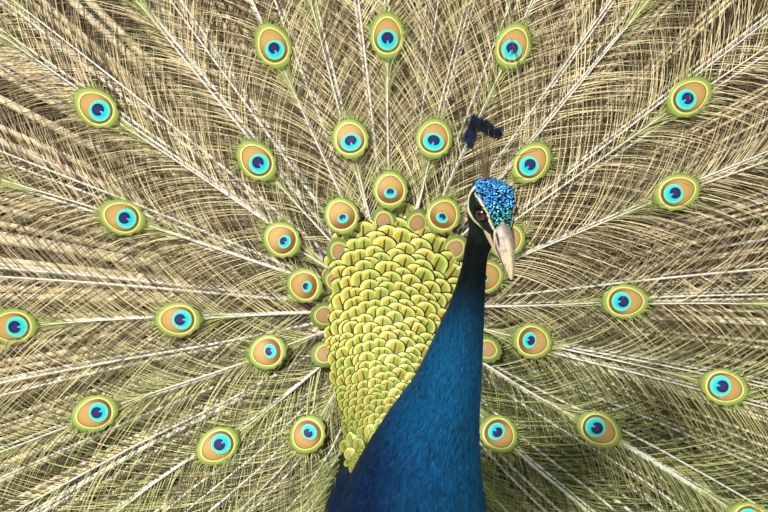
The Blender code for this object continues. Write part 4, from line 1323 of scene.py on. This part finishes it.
# %% Rows of scales on the shield and the back
owner = owners_of(skin_points)
keep = is_one(owner, "back_shield", "trunk")[triangles].all(1)
scale_tree = BVHTree.FromPolygons([Vector(p) for p in skin_points], [tuple(t) for t in triangles[keep]])
START_X, START_Z = -0.070, 0.190                   # rows are arcs round this point, below the shield
FIRST_ROW, LAST_ROW = 0.105, 0.475                 # metres from it
ROW_STEP, SIDE_STEP = 0.0168, 0.0600               # as shares of that distance
WIDER, TALLER, SHIELD_Z = 1.08, 1.05, 0.35         # the scales spread a little beyond the skin
rows, distance, row = [], FIRST_ROW, 0
while distance < LAST_ROW:
    turn = math.radians(7) + SIDE_STEP * (0.5 * (row % 2) - 14)
    while turn < 0.95:
        a = turn + float(draw.normal(0, 0.09)) * SIDE_STEP
        d = distance * (1 + float(draw.normal(0, 0.30)) * ROW_STEP)
        x, z = START_X + d * math.sin(a), START_Z + d * math.cos(a)
        start = Vector((x / WIDER, -0.9, SHIELD_Z + (z - SHIELD_Z) / TALLER))
        hit, normal, _, _ = scale_tree.ray_cast(start, Vector((0, 1, 0)))
        if hit is not None and normal.y < -0.03 and (z > 0.378 or x > -0.055 + 0.5 * (0.378 - z)):
            hit.x, hit.z = x, z
            normal = (normal + Vector((0, -0.8, 0.1))).normalized()
            lean = a + 1.5 * normal.x * (1 - 0.3 * (normal.x > 0))
            out = Vector((math.sin(lean), 0, math.cos(lean)))
            out = (out - normal * out.dot(normal)).normalized()
            width = 0.0740 * d * float(draw.uniform(0.88, 1.12))
            rows.append((*(hit - out * width * 0.40), *(out + normal * 0.10), *normal, width))
        turn += SIDE_STEP
    distance *= 1 + ROW_STEP
    row += 1
rows = np.array(rows)
rows = rows[regions(rows[:, :3] * np.array([1 / WIDER, 1, 1]), owners_of(rows[:, :3]))["gold"] > 0.5]
co, tip, face, width = rows[:, :3], rows[:, 3:6], rows[:, 6:9], rows[:, 9]
lay_in_cells("scales_shield", scale_template("scale"), scale, "gold_scale", co + face * 0.0004, unit(tip),
             face, np.stack([width * 0.5, width * 0.92, width * 0.5], 1), third="chance",
             tone=some(0.5, 0.25, len(co)), chance=draw.random(len(co)))

# %% [markdown]
# ## The crown
#
# The crown carries tiny curled feathers that look like blue beads with black between them, turning
# turquoise towards the bill. Each is a small dome with a free tip, one to a cell of about two millimetres.

# %% Beads of the crown
def bead_point(v, f):
    """A domed leaf one unit long, its root buried and its tip raised."""
    half = 0.62 * math.sin(math.pi * (0.12 + 0.83 * v)) ** 0.7
    return f * half, v - 0.25, 0.42 * (1 - f * f) * math.sin(math.pi * (0.1 + 0.8 * v)) + 0.16 * v - 0.06


def head_way(back, up, spread, place, normals):
    """A way given in the head's own directions, laid flat on the skin at each root."""
    way = np.array(HEAD_TURN @ Vector((0, back, up))) + draw.normal(0, spread, place.shape)
    return unit(flat_on(way, normals))


bead = Finish("crown_blue", roughness=0.30, metallic=0.35, specular_ior_level=0.6)
tone, fore, y = bead.attribute("tone"), bead.attribute("fore"), bead.own("local")[1]
colour = bead.mix(fore.steps(0.45, 1.0), rgb(44, 146, 232), rgb(48, 178, 190))
colour = bead.mix(tone.steps(0.55, 1.0), colour, bead.mix(fore, rgb(120, 204, 252), rgb(128, 232, 230)))
colour = bead.mix(y.steps(-0.05, 0.12), rgb(2, 8, 24), colour)
bead.shade(base_color=bead.shaded(colour, 0.80 + 0.75 * tone))
place, normals, _ = roots_where(masks["crown"], 0.00235, tries=14.0)
forward = head_places(place)[0]
back = head_way(1, 0, 0.28, place, normals)
grow = 0.00185 * draw.uniform(0.75, 1.2, len(place)) * (1 - 0.22 * smooth(forward, 0.008, 0.026))
lay("coat_crown", [grid_template("bead", 4, 4, bead_point, (0.7, 0.9), (0.5, 0.3))], bead, "head_feather",
    place, unit(back + 0.30 * normals), normals, grow, box_unwrap(place, normals),
    tone=draw.beta(1.4, 1.6, len(place)), fore=smooth(forward, -0.010, 0.024))

# %% [markdown]
# ## The face
#
# Velvet-short feathers cover the lores, the band through the eye and the cheek, black with a green gloss.
# The two bare stripes of white skin stay free of them.

# %% Velvet of the face and the nape
velvet = Finish("face_velvet", roughness=0.6, specular_ior_level=0.25)
tone = velvet.attribute("tone")
velvet.between(velvet.attribute("nape"), velvet.mix(tone.steps(0.3, 1.0), rgb(6, 16, 16), rgb(20, 52, 42)),
               velvet.mix(tone, rgb(8, 22, 46), rgb(16, 62, 104)))
face = masks["head"] * (masks["crown"] < 0.35) * (masks["white"] < 0.45) * (masks["horny"] < 0.4)
for way in (1, -1):
    face = face * (np.linalg.norm(skin_points - np.array(eye_of(way)[0]), axis=1) > 0.0083)
face = face * (head_places(skin_points)[0] < 0.0285)
place, normals, _ = roots_where(face, 0.00120, tries=9.0)
forward, sideways, up = head_places(place)
way = head_way(1, -0.15, 0.16, place, normals)
small = 0.0019 + 0.0034 * smooth(-forward, -0.004, 0.020) + 0.0022 * smooth(-up, 0.010, 0.022)
white, _, horny = face_marks(place + way * small[:, None])
small = np.where(white + horny > 0.25, small * 0.35, small)       # short where the tip would hide bare skin
lay("coat_face", HAIR, velvet, "head_feather", place, unit(way + normals * 0.22), normals,
    small * draw.uniform(0.8, 1.2, len(place)), box_unwrap(place, normals),
    kind=draw.integers(0, 3, len(place)),
    tone=some(0.5, 0.25, len(place)), nape=smooth(-forward, 0.006, 0.022) * smooth(up, -0.012, 0.004))

# %% [markdown]
# ## The bill
#
# The upper mandible is a tapering arch that bends down to a hooked tip over the shorter lower one. It is
# swept station by station along the same curve as the solid, with a ridge on top, a swelling over the
# slit of the nostril and a dark line at the gape.

# %% Mandibles
BILL_START, BILL_LENGTH, BILL_HALF_WIDTH = 0.0283, 0.0425, 0.0112
BILL_GAPE, BILL_DROP, BILL_TALL, BILL_DEEP = -0.0070, 0.0105, 0.0122, 0.0052
STATIONS, AROUND = 44, 30


def mandible_point(upper, t, a):
    """A place on the half-round horn, t along it and a round it, with its mark: along, level and nostril."""
    round_ = math.sin(a)
    length, hidden = (BILL_LENGTH, 0.0030) if upper else (BILL_LENGTH * 0.86, 0.0065)
    taper = 1 - 0.83 * t ** 2.0 - 0.10 * float(smooth(t, 0.93, 1.0))
    drop = BILL_GAPE - BILL_DROP * (length * t / BILL_LENGTH) ** 1.9 - (0.0006 * t ** 6 if upper else 0)
    high = (BILL_TALL if upper else BILL_DEEP) * taper * round_ ** 0.92 * (1.0 + 0.05 * round_ ** 12)
    rim = 0.90 - 0.06 * round_ if upper else 1.04
    gape = 0.0 if upper else 0.0030 * max(0.0, 1 - t * 1.25)
    wide = (BILL_HALF_WIDTH * taper * (1.0 - 0.10 * round_ ** 8) * rim + gape) * math.cos(a)
    slit = 0.0
    if upper:
        along, level = (t - 0.25) / 0.165, (round_ - 0.60 + 0.5 * (t - 0.20)) / 0.095
        slit = math.exp(-(along ** 2 + level ** 2) * 1.6)
        over = math.exp(-(along / 1.5) ** 2 - ((round_ - 0.78) / 0.16) ** 2)
        wide *= 1 - 0.16 * slit + 0.06 * over
        high *= 1 - 0.05 * slit + 0.02 * over
    up = drop + (high if upper else -high - 0.0002)
    return in_head(BILL_START - hidden + (length + hidden) * t, wide, up), (t, round_, slit)


def mandible(name, upper):
    """The whole horn, closed along its flat side and at its ends."""
    made = [mandible_point(upper, (k / STATIONS) ** 0.85, math.pi * j / AROUND)
            for k in range(STATIONS + 1) for j in range(AROUND + 1)]
    wide = AROUND + 1
    faces = grid_faces(STATIONS, AROUND)
    faces += [(k, k + wide, k + wide + AROUND, k + AROUND) for k in range(0, STATIONS * wide, wide)]
    faces += [tuple(range(wide)), tuple(STATIONS * wide + j for j in reversed(range(wide)))]
    return reworked(mesh_of(name, [place for place, _ in made], faces,
                            marks=np.array([m for _, m in made], float),
                            lower=np.full(len(made), 0.0 if upper else 1.0)), face_out)


horn = Finish("bill_horn", roughness=0.42, specular_ior_level=0.5)
along, level, slit = horn.own("marks")
lower, upper = horn.attribute("lower"), 1 - horn.attribute("lower")
cloud, streak = horn.noise(260.0, 4.0), horn.noise(900.0, 3.0)
lores = upper * (0.30 - level * 0.48) - lower              # where the feathers of the face end on the horn
colour = horn.mix(along.steps(0.25, 0.95), rgb(188, 174, 160), rgb(220, 202, 164))
for share, tint in ((cloud.steps(0.42, 0.68) * 0.75, rgb(138, 120, 110)),
                    ((1 - along.steps(0.0, 0.5)) * level.steps(0.72, 0.97) * 0.60, rgb(124, 116, 114)),
                    (lower * 0.75, horn.mix(along, rgb(164, 140, 92), rgb(196, 170, 112))),
                    (upper * (1 - level.steps(0.12, 0.38)) * 0.92, rgb(62, 44, 34)),
                    # painted highlight: a pale streak along the top of the ridge
                    (upper * level.steps(0.90, 1.0) * along.steps(0.15, 0.45) * 0.7, rgb(236, 216, 180)),
                    # the nostril's own dark opening, widened by painted shade in the groove round it
                    (slit.steps(0.12, 0.42), rgb(24, 17, 14)),
                    (1 - (along - lores - 0.045).steps(0.0, 0.012), rgb(232, 226, 196)),
                    (1 - (along - lores).steps(-0.006, 0.006), rgb(8, 18, 18))):
    colour = horn.mix(share, colour, tint)
horn.shade(base_color=horn.shaded(colour, 0.88 + 0.24 * streak))
horn.bump(streak, 0.0002, 0.5)
for name in ("bill_upper", "bill_lower"):
    piece = shown(name + "_horn", mandible(name + "_horn", name == "bill_upper"))
    horn.dress(piece.data)
    finished(piece, "bill_horn", name)

# %% [markdown]
# ## Eyes
#
# The eyes are dark brown and look sideways and a little ahead. Each is a ball with a clear bulge over the
# pupil; the lids of the skin close over its edge.

# %% Eyeballs
eye_brown = Finish("eye_brown", roughness=0.16, specular_ior_level=0.45, coat_weight=0.25,
                   coat_roughness=0.04)
gaze = eye_brown.attribute("gaze")
iris = eye_brown.mix(eye_brown.noise(900.0, 3.0).steps(0.3, 0.7), rgb(50, 26, 15), rgb(84, 44, 24))
colour = eye_brown.mix(gaze.steps(0.46, 0.50), rgb(4, 3, 3), iris)
eye_brown.between(gaze.steps(0.72, 0.80), colour, rgb(24, 16, 12))


def balls(bm):
    """Both balls, each with a bulge where it looks."""
    for way in (1, -1):
        middle, look = eye_of(way)
        turn = Vector((0, 0, 1)).rotation_difference(look).to_matrix()
        for v in bmesh.ops.create_uvsphere(bm, u_segments=40, v_segments=24,
                                           radius=EYE_RADIUS - 0.0001)["verts"]:
            if v.co.z > 0:
                v.co.z += 0.0005 * math.exp(-(math.hypot(v.co.x, v.co.y) / 0.0030) ** 2)
            v.co = middle + turn @ v.co


mesh = reworked(bpy.data.meshes.new("eyes"), balls)
offsets = [(points_of(mesh) - np.array(eye_of(way)[0]), np.array(eye_of(way)[1])) for way in (1, -1)]
mark(mesh, gaze=np.minimum(*[np.arccos(np.clip(unit(offset) @ look, -1, 1)) + 9
                             * (np.linalg.norm(offset, axis=1) > 0.009)
                             for offset, look in offsets]))         # radians away from the way the eye looks
eye_brown.dress(mesh)
finished(shown("eyeballs", mesh), "eye", "eye_left", "eye_right")

# %% [markdown]
# ## The crest
#
# Thirty thin brown shafts, a few more than most birds have, rise from the back of the crown. They are bare
# for most of their length and end in small blue-black fans that overlap in a band.

# %% Shafts of the crest
CREST_ROOT = np.array(in_head(-0.0215, -0.0035, 0.0105))
across, upward = Vector((0.90, 0.42, 0.10)).normalized(), Vector((-0.06, -0.10, 0.99)).normalized()
front = np.array(across.cross(upward))
COUNT = 30
spread = np.linspace(-1, 1, COUNT)[draw.permutation(COUNT)] + draw.normal(0, 0.03, COUNT)
past = spread + 0.5
rise = np.where(past > 0, 1.04 - 0.10 * past - 0.07 * past ** 2, 1.04 - 1.55 * past ** 2)
top = 0.0480 * rise + draw.normal(0, 0.0014, COUNT)
ahead = draw.normal(0, 0.0022, COUNT)
steps = np.linspace(0, 1, 8)
aside = 0.0030 * spread[:, None] * (1 - steps) + (0.0145 * spread[:, None] + 0.0006) * steps ** 1.15
lines = (CREST_ROOT + np.array(across) * aside[:, :, None] + np.array(upward)
         * (top[:, None] * steps)[:, :, None]
         + front * (ahead[:, None] * steps)[:, :, None])
shaft = Finish("crest_shaft_brown", roughness=0.5)
shaft.between(shaft.noise(500.0), rgb(150, 128, 98), rgb(112, 92, 68))
swept("crest_shafts", lines, np.tile(0.00032 * (1 - 0.35 * steps), (COUNT, 1)), shaft, "crest_feather")

# %% Fans of the crest
fan_shape = []
for k, a in enumerate(np.radians(np.linspace(-58, 58, 13))):
    reach, start = 1.0 - 0.12 * abs(math.sin(a)) + 0.05 * (k % 2), -0.35 + 0.30 * math.cos(a)
    fan_shape.append([(math.sin(a) * t * reach * (0.25 + 0.75 * t),
                       start + (math.cos(a) * reach - start * 0.4) * t * 0.95,
                       0.10 * t * t + 0.02 * (k % 2), 0.085 * (1 - 0.55 * t * t))
                       for t in (0.0, 0.35, 0.7, 1.0)])
plume = Finish("crest_blue_black", roughness=0.45, metallic=0.25, specular_ior_level=0.35)
y = plume.own("local")[1]
colour = plume.mix(y.steps(0.0, 0.9), rgb(16, 20, 22), rgb(10, 32, 64))
colour = plume.mix(y.steps(0.55, 1.0) * 0.7, colour, rgb(18, 66, 84))
plume.shade(base_color=plume.shaded(colour, 0.7 + 0.7 * plume.attribute("tone")))
tips = lines[:, -1]
lay_in_cells("crest_fans", blades("crest_fan", *fan_shape), plume, "crest_feather", tips,
             unit(tips - lines[:, -3]),
             unit(draw.normal(0, 0.30, tips.shape) - front),
             0.0080 * (1 + 0.35 * (spread < -0.45)) * draw.uniform(0.90, 1.10, COUNT),
             tone=draw.random(COUNT), nodes=("crest",))

# %% [markdown]
# ## Quills of the wings and the tail
#
# Flight and tail feathers are firm vanes on a stiff shaft. Those of the wing are chestnut with dark tips,
# and the tail that props the train up from behind is grey-brown. One vane is modelled once, cambered,
# with a ridge for its shaft and a rounded tip, and laid along the row of roots of each wing.

# %% A firm vane
def vane_point(v, f):
    """A feather one unit long and two wide, its shaft along +Y and its upper face towards +Z."""
    v = 1 - (1 - v) ** 1.7
    half = 0.72 + 0.28 * math.sin(math.pi * min(v / 0.9, 1) * 0.8) ** 0.8
    half *= math.sqrt(max(1 - (max(v - 0.90, 0) / 0.101) ** 2, 0))
    half *= 0.25 + 0.75 * float(smooth(v, 0, 0.16))
    return f * half, v, 0.10 * max(0.0, 1 - abs(f) * 3.2) * (1 - v) - 0.16 * f * f + 0.02


def vane_finish(name, dark, light, tip_colour, rough=0.5):
    """Barbs run out and forward from a pale shaft; the tip is darker."""
    made = Finish(name, roughness=rough, specular_ior_level=0.4)
    x, y, chance = made.own("spot")
    x = abs(x)
    barbs = (y * 210.0 - x * 26.0).sine()
    colour = made.mix(made.noise(60.0, 3.0) * 0.5 + chance * 0.5, dark, light)
    for share, tint in ((y.steps(0.80, 0.98), tip_colour), (x.steps(0.55, 0.98) * 0.65, rgb(30, 22, 16)),
                        ((1 - x.steps(0.035, 0.06)) * (1 - y.steps(0.80, 0.95)), rgb(150, 128, 98))):
        colour = made.mix(share, colour, tint)
    made.shade(base_color=made.shaded(colour, 1 + 0.10 * barbs))
    made.bump(barbs, 0.0004, 0.4)
    return made


def lay_vanes(name, finish, slot, rows, nodes):
    """Lay vanes given as (root, way, face, half width, length)."""
    co, way, face = (np.array([r[k] for r in rows]) for k in range(3))
    half, length = np.array([r[3:] for r in rows]).T
    lay_in_cells(name, grid_template(name + "_vane", 16, 8, vane_point, (0.49, 0.97), (0.5, 0.01)), finish,
                 slot, co, unit(way), unit(face), np.stack([half, length, half], 1), third="chance",
                 nodes=nodes, chance=draw.random(len(rows)))


# %% [markdown]
# ## Wings
#
# In display the wings hang at the sides, half spread. Their quills leave the arm one behind the other, each
# turned a little further back than the one before.

# %% Wing quills
primary = vane_finish("quill_chestnut", rgb(124, 70, 36), rgb(162, 100, 54), rgb(84, 50, 30))
WING_QUILLS = 17
for way, node in ((1, "wing_left"), (-1, "wing_right")):
    rows = []
    for k, g in enumerate(np.linspace(0, 1, WING_QUILLS)):
        base = np.array([way * (0.124 - 0.006 * g), 0.094 + 0.044 * g + SHIFT, 0.240 + 0.086 * g])
        angle = math.radians(50 - 34 * g)
        run = unit(np.array([way * (0.34 + 0.06 * g), 0.90 * math.cos(angle), -math.sin(angle)]))
        out = unit(np.cross(run, (0, math.sin(angle), math.cos(angle))))
        out = out * np.sign(out[0] * way)
        rows.append((base - run * 0.02 + out * (0.0010 + 0.0006 * (k % 2)), run, out, 0.0165 - 0.003 * g,
                     0.257 + 0.045 * math.sin(math.pi * g ** 0.7)))
    lay_vanes("quills_" + node, primary, "wing_feather", rows, (node,))

# %% Barred coverts on the arm
covert = Finish("covert_barred", roughness=0.5, specular_ior_level=0.4)
x, y, chance = covert.own("spot")
wave = (y * 17.0 + (x * 7.0).sine() * 0.8 + chance * 4.0).sine()
speck = covert.noise(260.0, 3.0)
colour = covert.mix((wave * 0.5 + 0.5 + 0.5 * (speck - 0.5)).steps(0.42, 0.60), rgb(196, 174, 134),
                    rgb(28, 24, 26))
covert.shade(base_color=covert.shaded(colour, 0.8 + 0.4 * speck))


def tiles(name, finish, slot, mask, cell, half, long, rise):
    """Rounded feathers over a region of the skin, by its own surface."""
    place, normals, share = roots_where(mask, cell)
    way = unit(flat_on(lie(place, share), normals) + draw.normal(0, 0.06, place.shape))
    grow = draw.uniform(0.88, 1.12, len(place))
    lay_in_cells(name, scale_template(name + "_tile", 6), finish, slot, place - way * (long * 0.3),
                 unit(way + normals * rise), normals, np.stack([half * grow, long * grow, half * grow], 1),
                 third="chance", tone=some(0.4, 0.2, len(place)), chance=draw.random(len(place)))


gold = masks["gold"]
side_gold, shield_gold = gold * is_one(owner, "trunk"), gold * is_one(owner, "back_shield")
ahead = (skin_y < -0.03) & (skin_z < 0.40)
tiles("coverts_wings", covert, "wing_covert", masks["wing"], cell=0.0068, half=0.0080, long=0.024, rise=0.16)
tiles("scales_back", scale, "gold_scale", side_gold * ~ahead,
      cell=0.0080, half=0.0088, long=0.020, rise=0.20)
tiles("scales_low", scale, "gold_scale", gold * ahead * (skin_z < 0.39),
      cell=0.0046, half=0.0052, long=0.0125, rise=0.20)
tiles("coverts_shield_back", covert, "gold_scale", shield_gold * (skin_normals[:, 1] > 0.1),
      cell=0.0100, half=0.0110, long=0.026, rise=0.14)

# %% Loose green barbs fall from the lowest feathers over the shoulders
veil = (np.abs(skin_x) > 0.056) * (skin_y > -0.09) * (skin_y < 0.06) * (skin_z > 0.27) * (skin_z < 0.385)
place, normals, _ = roots_where(veil * (masks["belly"] + masks["wing"]), 0.0052)
count = len(place)
way = np.sign(place[:, :1]) * (0.55, 0, 0) + (0, -0.2, -0.8) + draw.normal(0, 0.25, place.shape)
lay("barbs_over_shoulder", barb_templates, barb, "train_feather", place + normals * 0.003,
    unit(way + normals * 0.25),
    unit(normals + (0, -0.8, 0)), draw.uniform(0.030, 0.055, count), box_unwrap(place, normals),
    draw.integers(0, 6, count), **painted(count, (0.95, 0.1), (0.40, 0.25)))

# %% [markdown]
# ## The tail behind the train
#
# Twenty stiff quills fan out behind the train and hold it up. They are seen only from behind.

# %% Tail quills
TAIL_HUB, TAIL_RADIUS, TAIL_SPREAD, TAIL_QUILLS = np.array([0.0, 0.128 + SHIFT, 0.475]), 0.43, 84, 20


def tail_place(degrees, radius):
    a = math.radians(degrees)
    return TAIL_HUB + (radius * math.sin(a), 0.14 * radius * math.cos(a) - 0.10 * radius ** 2,
                       radius * math.cos(a))


rows = []
for k in range(TAIL_QUILLS):
    degrees = -TAIL_SPREAD + 2 * TAIL_SPREAD * (k + 0.5) / TAIL_QUILLS
    start = tail_place(degrees, 0.050)
    run = tail_place(degrees, TAIL_RADIUS) - start
    face = unit(np.cross(tail_place(degrees + 2, 0.25) - tail_place(degrees - 2, 0.25), run))
    face = face * np.sign(face[1])
    rows.append((start + face * (0.0014 + 0.0012 * (k % 2)), run, face, 0.034, np.linalg.norm(run)))
lay_vanes("quills_tail", vane_finish("quill_tail_brown", rgb(66, 54, 42), rgb(94, 78, 60),
                                     rgb(128, 110, 88), 0.6),
          "tail_feather", rows, ("tail_left", "tail_middle", "tail_right"))

# %% [markdown]
# ## Legs and feet
#
# Below the feathers the leg is bare: a grey-brown shank with a row of broad scutes down its front, toes
# with a scute on each joint, and net-like skin between. Shank and foot are one skin, fused and relaxed.

# %% Bare legs
leg = Finish("leg_scale_grey_brown", roughness=0.55, specular_ior_level=0.4)
net = leg.node("ShaderNodeTexVoronoi", {"feature": "DISTANCE_TO_EDGE"},
               {"Vector": leg.around(), "Scale": 420.0},
               "Distance")
colour = leg.mix(leg.noise(90.0, 3.0).steps(0.3, 0.7), rgb(116, 102, 84), rgb(150, 134, 112))
leg.between(net.steps(0.0, 0.10), leg.shaded(colour, 0.55), colour).bump(net.steps(0.0, 0.25), 0.0006, 0.8)

scute = Finish("scute_grey_brown", roughness=0.45, specular_ior_level=0.5)
colour = scute.mix(scute.noise(140.0, 3.0).steps(0.3, 0.7), rgb(128, 114, 94), rgb(164, 148, 124))
scute.between(abs(scute.own("local")[1]).steps(0.30, 0.50), colour, scute.shaded(colour, 0.5))


def scute_point(v, f):
    """A plate bent round the shank: two units wide, one long, raised in the middle."""
    a, v = math.radians(62 * f), v - 0.5
    corner = 1 - 0.25 * abs(math.sin(a)) ** 3 * (abs(v) > 0.4)
    return math.sin(a), v * corner, math.cos(a) - 0.955 + 0.06 * math.cos(math.pi * v)


# %% Each leg, and the places of its scutes
TOES = (("inner", -34, 0.052), ("middle", 0, 0.072), ("outer", 36, 0.055), ("hind", 172, 0.030))
SHANK_SCUTES, TOE_STEP = 21, 0.0056
SHANK_SCUTE, TOE_SCUTE = (0.0062, 0.0072), (0.0044, 0.0066)        # half width and length of one plate
scutes = []


def add_scute(origin, direction, along, *size):
    """A scute where a line meets the leg, if it does below the height where a toe could be."""
    hit, normal, _, _ = surface.ray_cast(origin, direction)
    if hit is not None and (direction.y or hit.z < 0.030):
        along = along if direction.y else (along - normal * along.dot(normal)).normalized()
        scutes.append((*(hit + normal * 0.0002), *along, *normal, *size))


def drawn_in(bm):
    """Take the skin of the leg in by a hair, with its soles flat on the floor."""
    for v in bm.verts:
        v.co -= v.normal * 0.0003
        v.co.z = max(v.co.z, 0.0)


for way, side in ((1, "left"), (-1, "right")):
    solids = ("shank_" + side, "foot_" + side)
    limb = fused("leg_" + side, solids, grow=0.0005, voxel=0.0015, factor=0.5, times=8)
    leg.dress(reworked(limb.data, drawn_in))
    surface = BVHTree.FromPolygons([Vector(p) for p in points_of(limb.data)],
                                   [tuple(f.vertices) for f in limb.data.polygons])
    finished(limb, "leg_scale", *solids)
    ankle = Vector((0.010 + way * 0.068, 0.010 + SHIFT, 0.016))
    hock = Vector((0.010 + way * 0.066, 0.052 + SHIFT, 0.168))
    for share in np.linspace(0.10, 0.96, SHANK_SCUTES):
        add_scute(hock.lerp(ankle, share) + Vector((0, -0.05, 0)), Vector((0, 1, 0)),
                  (ankle - hock).normalized(),
                  *SHANK_SCUTE)
    for _, degrees, length in TOES:
        along = Vector((way * math.sin(math.radians(degrees)), -math.cos(math.radians(degrees)), 0))
        count = int(length / TOE_STEP)
        for k in range(1, count + 1):
            over = ankle + along * (0.004 + length * k / (count + 1))
            add_scute(Vector((over.x, over.y, 0.05)), Vector((0, 0, -1)), along, *TOE_SCUTE)
scutes = np.array(scutes)
lay_in_cells("leg_scutes", grid_template("scute", 3, 6, scute_point, (0.45, 0.9), (0.5, 0.5)), scute,
             "leg_scale", scutes[:, :3], scutes[:, 3:6], scutes[:, 6:9], scutes[:, (9, 10, 9)])

# %% [markdown]
# ## Claws and spurs
#
# The claws are short, blunt and slightly curved; the cock carries a spur on the inner side of each shank.
# Each is a rounded copy of its solid, with fine growth lines.

# %% Claws and spurs
claw = Finish("claw_horn", roughness=0.38, specular_ior_level=0.5)
growth_lines = claw.noise(500.0)
claw.between(growth_lines.steps(0.35, 0.7), rgb(46, 40, 34), rgb(92, 80, 66)).bump(growth_lines, 0.0002, 0.5)
for side in ("left", "right"):
    for node in [f"claw_{side}_{toe}" for toe, _, _ in TOES] + [f"spur_{side}"]:
        piece = fused(node + "_horn", (node,), grow=0.0, voxel=0.0007, factor=0.5, times=4)
        claw.dress(piece.data)
        finished(piece, "claw", node)

# %% Measure and finish
low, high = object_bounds()
print("visual box:", [round(b - a, 3) for a, b in zip(low, high)])
